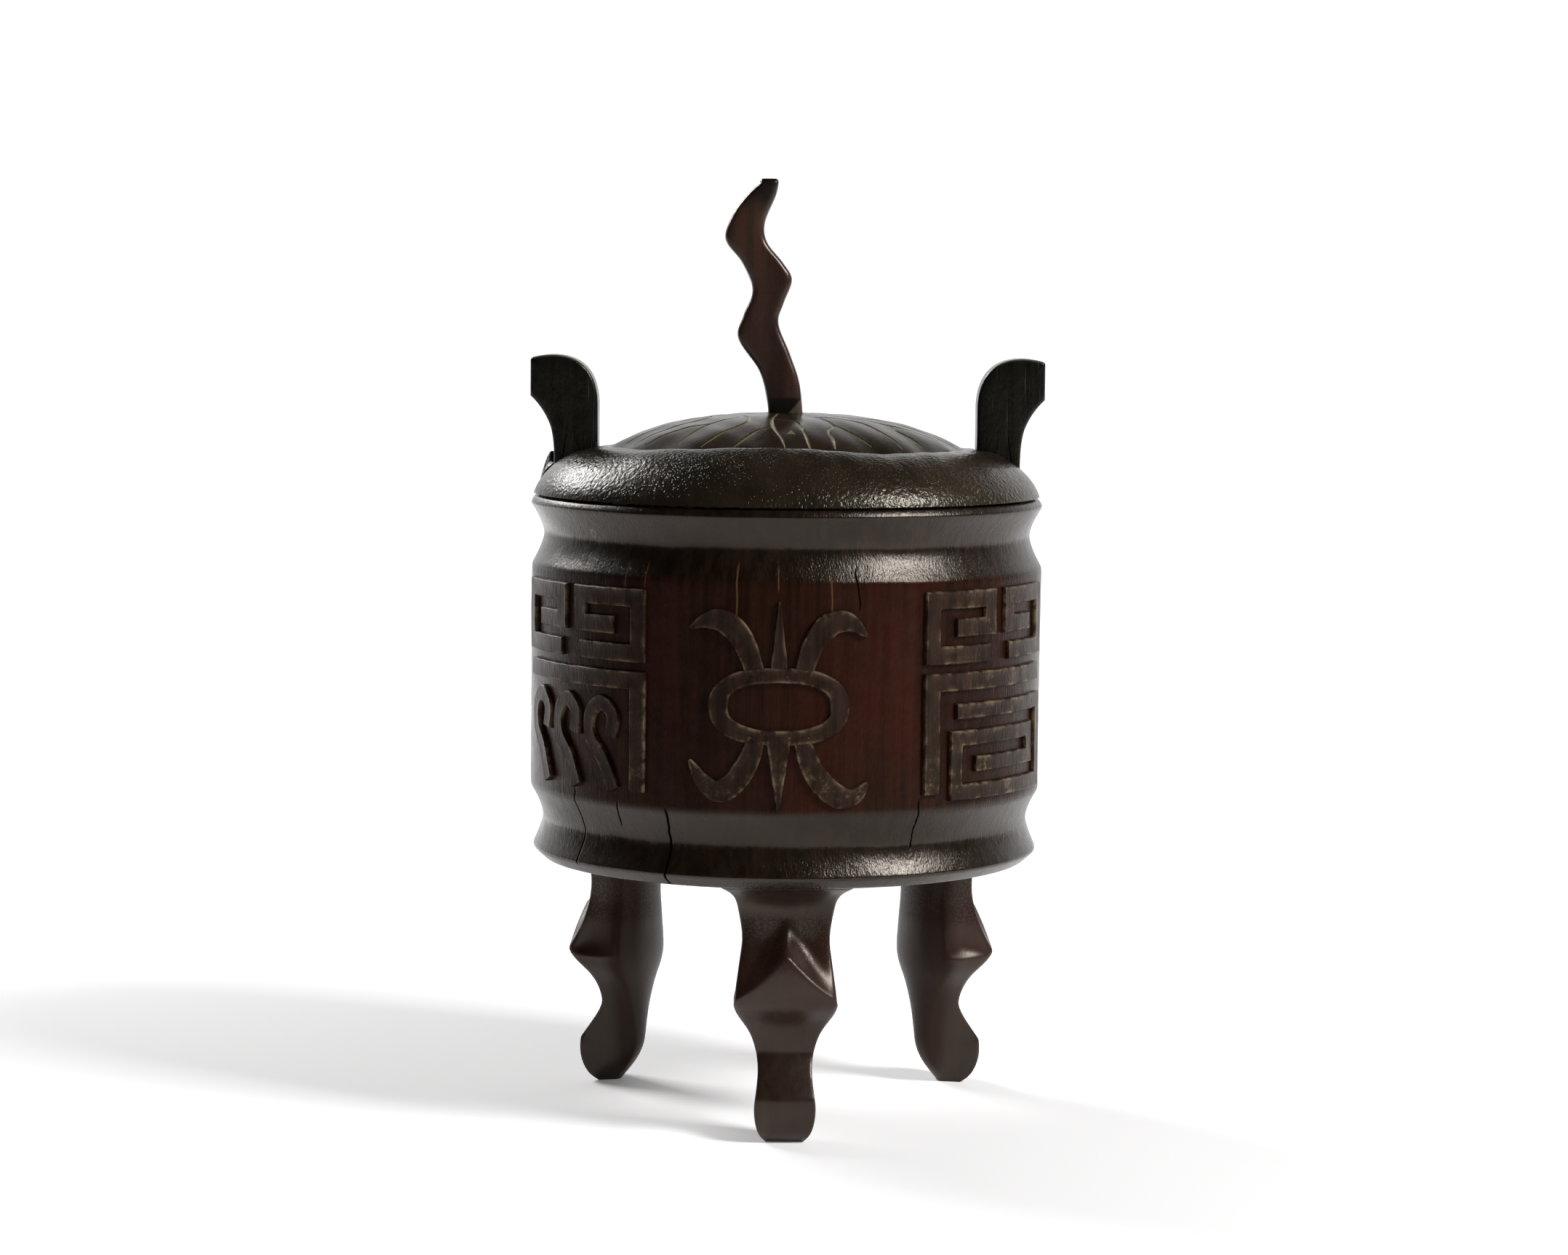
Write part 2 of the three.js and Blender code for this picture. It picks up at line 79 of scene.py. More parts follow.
# Driving dimensions of the legs
LEG_ANGLES = (271, 31, 151)
KNEE_R = 50
KNEE_APEX_Z = 40
KNEE_CORNER_Z = 29.2
LEG_WAIST_R = 44.4
LEG_WAIST_Z = 47.5
ANKLE_Z = 18.2
BACK_BULGE = 2
SCOOP_DEPTH = 1.6
FLANK_HOLLOW = 2
SCOOP_PEAK = 27 / 4

# Driving dimensions of the carving on the wall
RELIEF = 0.9
HOOK_STROKE = 3.6
BAR_STROKE = 3.8
CURL_STROKE = 3.2
OVAL_HALF_WIDTH = 12.4
OVAL_HALF_HEIGHT = 6.4
OVAL_SQUARENESS = 0.8
ORNAMENT_Z = 92
ORNAMENT_SHIFT = -1.2
PANEL_Z = 93.2
PANEL_ANGLE = 53.5
PANEL_HALF_WIDTH = 19.6
PANEL_HALF_HEIGHT = 20

# Driving dimensions of the lid and its stem
GAP = 0.3
LID_R = 54.6
CREST_R = 42
CREST_Z = 143.5
CREST_TURN = 1.71
VALLEY_R = 38.2
DOME_Z = 149.9
LID_INNER_R = 37.6
LID_INNER_Z = 145.2
LID_COLUMNS = 480
LID_RING_STEP = 0.52
VEIN_FORKS = 5
VEIN_WIDTH = 0.42
VEIN_DEPTH = 0.34
STEM_THICKNESS = 5.6
STEM_SOCKET = 2.7
STEM_TOP_Z = 200
STEM_SQUARENESS = 0.42

# The leaf's edge curled up behind the left ear: degrees round, radius and height
CURL_ANGLE = 168.5
CURL_R = 52.9
CURL_HEIGHT = 4.6

# Radius of the floor, in metres, its corners, and the least light that it gives off
FLOOR_REACH = 40
FLOOR_CORNERS = 96
FLOOR_GLOW = 0.14

# The camera: place in metres, lens in millimetres, tilt from straight down and roll in degrees
CAMERA_PLACE = (-0.0003, -0.8666, 0.1792)
CAMERA_LENS = 92.17
CAMERA_TILT = 85
CAMERA_ROLL = 0.56

# What both lamps point at, in metres
LAMP_AIM = (0, 0, 0.08)


def smoothstep(value, low, high):
    t = np.clip((value - low) / (high - low), 0, 1)
    return t * t * (3 - 2 * t)


def spline(points, samples):
    """A Catmull-Rom curve through the points, evenly sampled between them."""
    given = np.array(points, float)
    padded = np.vstack([given[0], given, given[-1]])
    t = np.linspace(0, len(given) - 1, samples + 1)
    k = np.minimum(t.astype(int), len(given) - 2)
    w = (t - k)[:, None]
    a, b, c, d = padded[k], padded[k + 1], padded[k + 2], padded[k + 3]
    start, end = (c - a) / 2, (d - b) / 2
    return (2 * b - 2 * c + start + end) * w**3 + (3 * c - 3 * b - 2 * start - end) * w**2 + start * w + b


def skin(rings, closed=False):
    """Rings of points, counter-clockwise seen from the last ring, joined into a closed skin."""
    rings = np.asarray(rings, float)
    count, columns = rings.shape[:2]
    points = rings.reshape(-1, 3)
    low = np.arange(count if closed else count - 1)[:, None] * columns
    high = (low + columns) % (count * columns)
    i = np.arange(columns)[None, :]
    j = (i + 1) % columns
    faces = np.stack([low + i, low + j, high + j, high + i], -1).reshape(-1, 4).tolist()
    if not closed:
        for ring, flipped in ((0, True), (count - 1, False)):
            hub = len(points)
            points = np.vstack([points, rings[ring].mean(0)])
            for k in range(columns):
                edge = [ring * columns + k, ring * columns + (k + 1) % columns]
                faces.append((edge[::-1] if flipped else edge) + [hub])
    return points, faces


def make(name, points, faces, marks=None):
    mesh = bpy.data.meshes.new(name)
    mesh.from_pydata((np.asarray(points) * MM).tolist(), [], faces)
    for key, values in (marks or {}).items():
        mesh.attributes.new(key, "FLOAT", "POINT").data.foreach_set("value", np.asarray(values, float))
    made = bpy.data.objects.new(name, mesh)
    bpy.context.scene.collection.objects.link(made)
    return made


def combine(base, parts, operation):
    """Joins the parts to the base, or cuts them from it, and keeps the result as the base's mesh."""
    group = bpy.data.collections.new("parts")
    for part in parts:
        group.objects.link(part)
    cut = base.modifiers.new("combine", "BOOLEAN")
    cut.operation = operation
    cut.solver = "MANIFOLD"
    cut.operand_type = "COLLECTION"
    cut.collection = group
    bpy.context.view_layer.update()
    result = bpy.data.meshes.new_from_object(base.evaluated_get(bpy.context.evaluated_depsgraph_get()))
    base.modifiers.clear()
    base.data = result
    for part in parts:
        bpy.data.objects.remove(part)
    bpy.data.collections.remove(group)


def turned(points, degrees):
    """The points turned about the upright axis."""
    a = math.radians(degrees)
    return points @ np.array([[math.cos(a), math.sin(a), 0], [-math.sin(a), math.cos(a), 0], [0, 0, 1]])


def rounded(profile, sigma, fine, coarse):
    """A polyline with its corners eased, sampled closely where it bends."""
    given = np.array(profile, float)
    lengths = np.hypot(*np.diff(given, axis=0).T)
    along = np.concatenate([[0], np.cumsum(lengths)])
    step = 0.1
    radians_per_sample = 0.16
    s = np.arange(0, along[-1], step)
    dense = np.stack([np.interp(s, along, given[:, k]) for k in (0, 1)], -1)
    reach = int(4 * sigma / step)
    kernel = np.exp(-0.5 * (np.arange(-reach, reach + 1) * step / sigma) ** 2)
    kernel /= kernel.sum()
    padded = np.pad(dense, ((reach, reach), (0, 0)), mode="edge")
    eased = np.stack([np.convolve(padded[:, k], kernel, "valid") for k in (0, 1)], -1)
    tangent = np.gradient(eased, axis=0)
    heading = np.unwrap(np.arctan2(tangent[:, 1], tangent[:, 0]))
    outside = smoothstep(eased[:, 0], 43, 48)
    spacing = coarse + (fine - coarse) * outside
    cost = step / spacing[1:] + np.abs(np.diff(heading)) / radians_per_sample
    metric = np.concatenate([[0], np.cumsum(cost)])
    picks = np.interp(np.linspace(0, metric[-1], int(metric[-1]) + 1), metric, np.arange(len(metric)))
    return np.stack([np.interp(picks, np.arange(len(eased)), eased[:, k]) for k in (0, 1)], -1)


def cove(low, high, steps):
    """The outline of a hollow moulding between two points, deepest halfway up, at the throat."""
    points = []
    for i in range(steps + 1):
        f = i / steps
        edge = low[0] + (high[0] - low[0]) * f
        across = abs(2 * f - 1)
        radius = edge - (edge - THROAT_R) * (1 - across**COVE_POWER)
        points.append((radius, low[1] + (high[1] - low[1]) * f))
    return points


def cup():
    """The hollow cup, turned, with the slight unevenness of hand carving."""
    profile = rounded(
        [
            (HUB_R, UNDERSIDE_Z),
            (UNDERSIDE_R, UNDERSIDE_Z),
            *cove((RING_R, RING_Z), (WALL_R, WALL_LOW_Z), COVE_STEPS),
            *cove((WALL_R, WALL_HIGH_Z), (LIP_R, LIP_Z), COVE_STEPS),
            (LIP_R - RIM_CHAMFER, RIM_Z),
            (CAVITY_R, RIM_Z),
            (CAVITY_R, FLOOR_Z + FLOOR_CHAMFER),
            (CAVITY_R - FLOOR_CHAMFER, FLOOR_Z),
            (HUB_R, FLOOR_Z),
        ],
        sigma=0.42,
        fine=1.15,
        coarse=4,
    )
    turn = np.linspace(0, 2 * math.pi, CUP_COLUMNS, endpoint=False)[None, :]
    radius, height = profile[:, :1], profile[:, 1:]
    outside = smoothstep(radius, 44, 50)
    uneven = 0.10 * np.sin(3 * turn + 1) + 0.07 * np.sin(7 * turn + 2 + height * 0.11)
    uneven = uneven + 0.04 * np.sin(17 * turn + height * 0.3) * np.sin(height * 0.5 + 3 * turn)
    tilt = 0.16 * np.sin(2 * turn + 0.4) + 0.10 * np.sin(5 * turn + 2.2) + 0.05 * np.sin(13 * turn)
    r = radius + uneven * outside
    z = height + tilt * outside * smoothstep(height, 57, 62) * (1 - smoothstep(height, 122, 129))
    return skin(np.stack([r * np.cos(turn), r * np.sin(turn), z + 0 * turn], -1))


def ear(angle):
    """An ear with eased edges, from its radial outline, cut through and set along the rim."""
    w, lip, top = EAR_WAIST_R, EAR_LIP_Z, EAR_TOP_Z

    def bend(start, middle, end, steps):
        t = np.linspace(0, 1, steps + 1)[1:, None]
        a, b, c = (np.array(point, float) for point in (start, middle, end))
        return ((1 - t) ** 2 * a + 2 * t * (1 - t) * b + t**2 * c).tolist()

    shoulder = (w + 1.2, EAR_WAIST_Z + 5)
    outline = [(EAR_INNER_R, RIM_Z - EAR_ROOT), (w + 1, RIM_Z - EAR_ROOT)]
    outline += bend(outline[-1], (w - 0.6, EAR_WAIST_Z), shoulder, 22)
    outline += bend(shoulder, (w + 2.6, lip - 2.6), (EAR_OUTER_R, lip), 8)
    outline += [(EAR_OUTER_R, z) for z in np.linspace(lip, top - 1.1, 8)[1:]]
    outline += bend(outline[-1], (EAR_OUTER_R - 0.1, top - 0.6), (EAR_OUTER_R - 0.8, top - 0.5), 4)
    outline += bend(outline[-1], (EAR_OUTER_R - 3, top), (EAR_OUTER_R - 5, top), 6)
    outline += bend(outline[-1], (EAR_INNER_R + 0.6, top - 0.2), (EAR_INNER_R, EAR_SHOULDER_Z), 24)
    outline += [(EAR_INNER_R, z) for z in np.linspace(EAR_SHOULDER_Z, RIM_Z - EAR_ROOT, 20)[1:-1]]
    outline = np.array(outline)
    along = np.roll(outline, -1, 0) - np.roll(outline, 1, 0)
    along /= np.linalg.norm(along, axis=1)[:, None]
    inward = np.stack([-along[:, 1], along[:, 0]], -1)
    centre = np.array(EAR_MIDDLE, float)
    half = EAR_WIDTH / 2
    rings = []
    for side in (-1, 1):
        steps = []
        for shrink in (0.35, 0.7):
            steps.append((centre + (outline + inward * EAR_EDGE - centre) * shrink, half))
        for turn in np.radians([0, 22, 45, 68, 90]):
            offset = EAR_EDGE * (1 - math.sin(turn))
            steps.append((outline + inward * offset, half - EAR_EDGE * (1 - math.cos(turn))))
        if side > 0:
            steps = steps[::-1]
        for flat, depth in steps:
            y = np.full(len(flat), -side * depth)
            rings.append(np.stack([flat[:, 0], y, flat[:, 1]], -1))
        if side < 0:
            for depth in np.linspace(half - 2 * EAR_EDGE, -half + 2 * EAR_EDGE, 7):
                rings.append(np.stack([outline[:, 0], np.full(len(outline), depth), outline[:, 1]], -1))
    points, faces = skin(rings)
    return turned(points, angle), faces


# Outer radius of a leg up its middle, radius of its back, and half its width seen from the front
LEG_SIDE = np.vstack([
    spline([(44.6, 0), (46.6, 1.6), (48.2, 5.4), (48.3, 9.8)], 30),
    spline(
        [(48.3, 9.8), (45.6, 13.6), (42.9, ANKLE_Z), (44.7, 24.4), (48.9, 29), (KNEE_R, 33),
         (KNEE_R, KNEE_APEX_Z)],
        80,
    )[1:],
])
THIGH_SIDE = spline(
    [(LEG_WAIST_R, LEG_WAIST_Z), (45.2, 49.6), (46.9, 51.5), (49.1, 52.9), (51.8, UNDERSIDE_Z)], 60,
)
LEG_BACK = spline([(41.4, 0), (40.6, 1.2), (38.9, 3.2), (37.2, 5.6), (36.2, 8.4), (36, 12), (36, 16)], 60)
LEG_FRONT = spline(
    [(4.1, 0), (5.9, 2.4), (6.75, 7), (6.1, 12), (5.75, 16), (7.2, 22), (10.2, 27),
     (10.9, 30.5), (10, 37), (9.2, 42.5), (9.9, 48), (11.1, 51.8), (14.4, UNDERSIDE_Z)],
    160,
)
# Levels of the rings of the foot and of the thigh
FOOT_LEVELS = (
    0, 0.25, 0.6, 1.1, 1.8, 2.6, 3.6, 4.8, 6, 7.2, 8.3,
    9.1, 9.6, 9.9, 10.3, 11, 12, 13.2, 14.6, 16.2, 17.8,
)
THIGH_LEVELS = (48.1, 48.8, 49.5, 50.2, 50.9, 51.6, 52.3, 52.9, 53.4, 53.8, 54.2, UNDERSIDE_Z + 1.6)
LEG_FRONT_COLUMNS = 37
LEG_FLANK_COLUMNS = 13


def leg_ring(z, front_z, rise=None):
    """One level of a leg, x outwards and y across. Above the knee, rise runs from 0 to 1."""
    half = float(np.interp(z, LEG_FRONT[:, 1], LEG_FRONT[:, 0]))
    back_half = half * (0.3 + 0.7 * float(smoothstep(z, 5, 26)))
    back = float(np.interp(z, LEG_BACK[:, 1], LEG_BACK[:, 0]))
    side = np.linspace(-1, 1, LEG_FRONT_COLUMNS)
    height = front_z(side)
    hollow = 0
    if rise is None:
        outline = THIGH_SIDE if z > LEG_WAIST_Z else LEG_SIDE
        reach = np.interp(height, outline[:, 1], outline[:, 0])
    else:
        across = np.sin(math.pi * np.abs(side) ** 0.8) ** 1.8
        scoop = SCOOP_DEPTH * across * SCOOP_PEAK * rise * (1 - rise) ** 2
        reach = KNEE_R - (KNEE_R - LEG_WAIST_R) * (1 - (1 - rise) ** 2.1) - scoop
        hollow = FLANK_HOLLOW * (1 - math.exp(-rise / 0.1)) * (1 - rise) ** 1.5
    y = side * half
    front = np.stack([np.sqrt(reach**2 - y**2), y, height + 0 * side], -1)
    corners = [front[-1], (back, back_half, z), (back, -back_half, z), front[0]]
    ring = [front]
    for outward, start, end in zip((-1, 0, 1), corners, corners[1:]):
        t = np.linspace(0, 1, LEG_FLANK_COLUMNS)[1:, None]
        edge = np.array(start) * (1 - t) + np.array(end) * t
        edge[:, 1:2] += outward * hollow * np.sin(math.pi * t**0.75)
        if outward == 0:
            edge[:, :1] -= BACK_BULGE * (back_half / 10) * (1 - (2 * t - 1) ** 2)
        ring.append(edge)
    return np.vstack(ring)[:-1]


def leg(angle):
    """A leg: foot and shin up to the knee's chevron, the scoops above it, and the thigh into the base."""

    def knee(side):
        return KNEE_APEX_Z + (KNEE_CORNER_Z - KNEE_APEX_Z) * np.abs(side)

    rings = []
    for z in FOOT_LEVELS:
        rings.append(leg_ring(z, lambda side, z=z: z + 0 * side))
    for rise in np.linspace(0, 1, 22):
        z = ANKLE_Z + (KNEE_CORNER_Z - ANKLE_Z) * rise
        rings.append(leg_ring(z, lambda side, f=rise: ANKLE_Z + (knee(side) - ANKLE_Z) * f))
    for rise in np.concatenate([np.linspace(0.02, 0.2, 9), np.linspace(0.25, 1, 16)]):
        z = KNEE_CORNER_Z + (LEG_WAIST_Z - KNEE_CORNER_Z) * rise
        rings.append(leg_ring(z, lambda side, f=rise: knee(side) + (LEG_WAIST_Z - knee(side)) * f, rise))
    for z in THIGH_LEVELS:
        rings.append(leg_ring(z, lambda side, z=z: z + 0 * side))
    grid = np.array(rings)
    for _ in range(2):
        grid = 0.5 * grid + 0.25 * np.roll(grid, 1, 1) + 0.25 * np.roll(grid, -1, 1)
        grid[1:-1] = 0.5 * grid[1:-1] + 0.25 * grid[2:] + 0.25 * grid[:-2]
    points, faces = skin(grid)
    return turned(points, angle), faces


def run(corners, half, step=2.6):
    """Corners joined by straight runs, with no sample so near a corner that its sides would cross."""
    path = [np.array(corners[0], float)]
    for start, end in zip(corners, corners[1:]):
        start, end = np.array(start, float), np.array(end, float)
        length = np.linalg.norm(end - start)
        margin = half + 0.35
        free = length - 2 * margin
        if free > 0.5:
            pieces = max(int(math.ceil(free / step)), 1)
            for k in range(pieces + 1):
                path.append(start + (end - start) * (margin + free * k / pieces) / length)
        path.append(end)
    return np.array(path)


def stroke(path, half, seed, closed=False):
    """A raised stroke on the wall: a flat top with eased edges and sides that slope into the wall."""
    path = np.asarray(path, float)
    count = len(path)
    before = np.roll(path, 1, 0)
    after = np.roll(path, -1, 0)
    if not closed:
        before[0], after[-1] = path[0], path[-1]
    arriving, leaving = path - before, after - path
    for way, other in ((arriving, leaving), (leaving, arriving)):
        length = np.linalg.norm(way, axis=1)
        way[length < 1e-9] = other[length < 1e-9]
        way /= np.linalg.norm(way, axis=1)[:, None]
    along = arriving + leaving
    along /= np.linalg.norm(along, axis=1)[:, None]
    straight = np.maximum((along * leaving).sum(1), 0.6)
    normal = np.stack([-along[:, 1], along[:, 0]], -1)
    wobble = 0.05 * np.sin(path[:, 0] * 1.3 + seed) + 0.05 * np.sin(path[:, 1] * 1.1 + 2 * seed)
    w = (half * (1 + 0.5 * wobble)) / straight
    thin = np.clip(w / 0.9, 0.15, 1)
    top = RELIEF + 0.08 * np.sin(path[:, 0] * 0.35 + seed) * np.sin(path[:, 1] * 0.3 + seed)
    section = [
        (-w - 0.22, -0.6, 0),
        (-w - 0.10, 0.05, 0),
        (-w, top - 0.18, 1),
        (-w + 0.16 * thin, top, 1),
        (-w + 0.62 * thin, top - 0.03, 0.15),
        (0 * w, top - 0.07, 0),
    ]
    section += [(-offset, rise, mark) for offset, rise, mark in section[-2::-1]]
    rings, marks = [], []
    for offset, rise, mark in section:
        spot = path + normal * np.asarray(offset)[:, None]
        angle = spot[:, 0] / WALL_R - math.pi / 2
        radius = WALL_R + rise
        rings.append(np.stack([radius * np.cos(angle), radius * np.sin(angle), spot[:, 1]], -1))
        marks.append(np.full(count, float(mark)))
    rings = np.stack(rings, 1)
    marks = np.stack(marks, 1)
    points, faces = skin(rings, closed)
    marks = marks.reshape(-1)
    if not closed:
        marks = np.concatenate([marks, [0, 0]])
    lifted = np.hypot(points[:, 0], points[:, 1]) > WALL_R + 0.3
    return points, faces, {"edge": marks, "relief": lifted.astype(float)}


def ornament():
    """An oval ring, a spike above and below it, and four horns that curl outwards."""
    turn = np.linspace(0, 2 * math.pi, 96, endpoint=False)
    c, s = np.cos(turn), np.sin(turn)
    u = OVAL_HALF_WIDTH * np.sign(c) * np.abs(c) ** OVAL_SQUARENESS
    v = OVAL_HALF_HEIGHT * np.sign(s) * np.abs(s) ** OVAL_SQUARENESS
    shapes = [(np.stack([u, v], -1), 1.45 + 0.45 * np.cos(turn) ** 2, True)]
    for up, length, half in ((1, 21.5, 1.8), (-1, 22, 2.4)):
        path = np.linspace((0, up * 6), (0, up * length), 24)
        f = np.linspace(0, 1, 24)
        shapes.append((path, half * (1 - f) + 0.15, False))
    for out, up, points in (
        (-1, 1, [(4.8, 6.6), (6.4, 11.4), (8.6, 15.2), (11.6, 17.3), (15, 17.4), (18.4, 15.7)]),
        (1, 1, [(4.9, 6.6), (6.6, 12.2), (9.2, 16), (12, 17.4), (15, 16.9), (17.9, 14.3)]),
        (-1, -1, [(4.4, 6.6), (6.4, 11.8), (9.3, 16), (12.6, 17.5), (15.6, 15.6), (18.4, 11.3)]),
        (1, -1, [(4.6, 6.6), (7, 13), (10.2, 17), (13.2, 18.7), (16, 18.2), (18.3, 15.6)]),
    ):
        path = spline([(out * u, up * v) for u, v in points], 34)
        f = np.linspace(0, 1, 35)
        shapes.append((path, 1.75 + 0.75 * np.sin(math.pi * f) - 1.55 * f**4, False))
    return [(path + (ORNAMENT_SHIFT, ORNAMENT_Z), half, closed) for path, half, closed in shapes]


def panel(side, curled):
    """A row of two square hooks, a bar with a post, and below it three curls or a square spiral."""
    w, h = PANEL_HALF_WIDTH, PANEL_HALF_HEIGHT
    hook = [(-13.4, 14.2), (-3.4, 14.2), (-3.4, h), (-w, h), (-w, 8.6), (-3.4, 8.6)]
    marks = [
        (run(hook, HOOK_STROKE / 2), HOOK_STROKE),
        (run([(-u, v) for u, v in hook], HOOK_STROKE / 2), HOOK_STROKE),
        (run([(-w, 3), (w, 3), (w, -h)], BAR_STROKE / 2), BAR_STROKE),
    ]
    if curled:
        for u in (-13, -1.2, 10):
            rise = [(u + 3.6, -h), (u + 0.6, -14), (u - 3.2, -9.5), (u - 3.2, -4.6)]
            turn = [(u, -2.2), (u + 3.2, -4.6), (u + 2.6, -9)]
            marks.append((spline(rise + turn, 44), CURL_STROKE))
    else:
        outer = [(13.2, -3.2), (-w, -3.2), (-w, -h), (13.2, -h)]
        inner = [(13.2, -8.8), (-13.6, -8.8), (-13.6, -14.4), (7.6, -14.4)]
        marks.append((run(outer + inner, CURL_STROKE / 2), CURL_STROKE))
    place = np.array([side * WALL_R * math.radians(PANEL_ANGLE), PANEL_Z])
    return [
        (path * (-side, 1) + place, np.full(len(path), width / 2), False)
        for path, width in marks
    ]


def carved_body():
    """The cup with its ears, legs and carving, joined into one closed mesh."""
    parts = []
    for name, (points, faces) in [("ear_a", ear(0)), ("ear_b", ear(180))] + [
        (f"leg_{angle}", leg(angle)) for angle in LEG_ANGLES
    ]:
        parts.append(make(name, points, faces))
    strokes = ornament() + panel(-1, True) + panel(1, False)
    for seed, (path, half, closed) in enumerate(strokes):
        points, faces, marks = stroke(path, half, seed, closed)
        for sign in (1, -1):
            parts.append(make("stroke", points * (sign, sign, 1), faces, marks))
    body = make("carved_body_dressed", *cup())
    for key in ("edge", "relief"):
        body.data.attributes.new(key, "FLOAT", "POINT")
    combine(body, parts, "UNION")
    return body


def crest_wave(angle):
    """The ring's crest is highest left of the front, and lowest at the back."""
    from_top = np.angle(np.exp(1j * (angle + CREST_TURN)))
    front = 1.5 * np.exp(-((from_top / 0.45) ** 2))
    return front - 0.9 - 1.2 * smoothstep(np.sin(angle), -0.5, 0.3) + 0.15 * np.sin(9 * angle + 2)


def lid_top(radius, angle):
    """Height of the lid's upper side: a bulging ring with a wavy crest, a valley and the dome."""
    dome = DOME_Z - 0.0028 * radius**2 - 1.7e-6 * radius**4
    wave = crest_wave(angle)
    rise = (CREST_R - radius) / (CREST_R - VALLEY_R)
    slope = CREST_Z - 1.1 * rise**2 + wave * (1 - rise)
    fall = np.clip((radius - CREST_R) / (LID_R - CREST_R), 0, 1)
    seat = RIM_Z + GAP
    ring = seat + (CREST_Z + wave * (1 - fall) - seat) * (1 - fall**1.5) ** 0.7
    return np.where(radius <= VALLEY_R, dome, np.where(radius <= CREST_R, slope, ring))


def lid_uneven(radius, angle):
    """The soft dents of the carved leaf, and its edge curled up behind the left ear."""
    x, y = radius * np.cos(angle), radius * np.sin(angle)
    dents = 0.10 * np.sin(x * 0.31 + 1) * np.sin(y * 0.27 + 2) + 0.05 * np.sin(x * 0.8 + y * 0.5)
    by_valley = smoothstep(radius, 20, 34) * (1 - smoothstep(radius, 37, 40))
    folds = 0.16 * np.sin(15 * angle + 0.06 * radius) * by_valley
    along = np.angle(np.exp(1j * (angle - math.radians(CURL_ANGLE)))) * radius
    curl = CURL_HEIGHT * np.exp(-0.5 * (along / 2.6) ** 2) * np.exp(-0.5 * ((radius - CURL_R) / 1.4) ** 2)
    return dents * smoothstep(LID_R - radius, 0, 6) + folds + curl


def lid_rings():
    """The lid's whole skin: from the middle of its hollow underside, round its edge, to the dome."""
    seat = RIM_Z + GAP
    under = [
        (HUB_R, LID_INNER_Z), (9, 144.9), (16, 144.4), (23, 143), (30, 141), (35, 137),
        (LID_INNER_R, seat + 2), (LID_INNER_R, seat), (42, seat), (48, seat), (54, seat),
    ]
    fine = np.linspace(LID_R - 0.02, 1, 4000)
    heights = lid_top(fine, 0)
    travelled = np.concatenate([[0], np.cumsum(np.hypot(np.diff(fine), np.diff(heights)))])
    radii = np.interp(np.arange(0, travelled[-1], LID_RING_STEP), travelled, fine)
    turn = np.linspace(0, 2 * math.pi, LID_COLUMNS, endpoint=False)
    rings = []
    for radius, z in under:
        rings.append(np.stack([radius * np.cos(turn), radius * np.sin(turn), z + 0 * turn], -1))
    for radius in radii:
        z = lid_top(radius, turn) + lid_uneven(radius, turn)
        rings.append(np.stack([radius * np.cos(turn), radius * np.sin(turn), z], -1))
    return skin(rings)


def vein(points):
    """A three-sided cutter along the lid's upper side, through points given as (radius, degrees)."""
    path = spline([(r * math.cos(math.radians(a)), r * math.sin(math.radians(a))) for r, a in points], 40)
    along = np.gradient(path, axis=0)
    along /= np.linalg.norm(along, axis=1)[:, None]
    normal = np.stack([-along[:, 1], along[:, 0]], -1)
    radius = np.hypot(*path.T)
    angle = np.arctan2(path[:, 1], path[:, 0])
    z = lid_top(radius, angle) + lid_uneven(radius, angle)
    f = np.linspace(0, 1, len(path))
    taper = 0.45 + 0.55 * np.sin(math.pi * np.clip(f * 1.15, 0, 1)) ** 0.5
    rings, marks = [], []
    for offset, height, mark in ((-2.6, 1.5, 0), (0, -1, 1), (2.6, 1.5, 0)):
        spot = path + normal * (VEIN_WIDTH * taper * offset)[:, None]
        rings.append(np.stack([spot[:, 0], spot[:, 1], z + VEIN_DEPTH * taper * height], -1))
        marks.append(np.full(len(path), float(mark)))
    points, faces = skin(np.stack(rings, 1))
    return points, faces, {"vein": np.concatenate([np.stack(marks, 1).reshape(-1), [1, 1]])}


def veins():
    """The pattern of forking veins seen in front, repeated round the dome."""
    pattern = [
        [(13.1, 224), (15.1, 236.5), (21.1, 245.5), (27.1, 243), (32.8, 241), (36, 240)],
        [(6, 250), (17.6, 259), (24.7, 263), (31.7, 268), (35.8, 269.5)],
        [(16.6, 258.5), (18.4, 274), (26.8, 277), (33.1, 277.5), (36.1, 278)],
        [(24.2, 263), (27.3, 256), (32.9, 253), (35.1, 251.6)],
        [(14.9, 298), (22.6, 295.6), (26.9, 289), (33.2, 287), (36, 286)],
        [(21.6, 296), (29, 299), (34.7, 300.5)],
    ]
    made = []
    for k in range(VEIN_FORKS):
        for points in pattern:
            made.append(vein([(r, a + k * 360 / VEIN_FORKS) for r, a in points]))
    return made


def block(low, high):
    """A box between two corners."""
    (x0, y0, z0), (x1, y1, z1) = low, high
    points = [(x, y, z) for z in (z0, z1) for x, y in ((x0, y0), (x1, y0), (x1, y1), (x0, y1))]
    faces = [(3, 2, 1, 0), (4, 5, 6, 7), (0, 1, 5, 4), (1, 2, 6, 5), (2, 3, 7, 6), (3, 0, 4, 7)]
    return np.array(points, float), faces


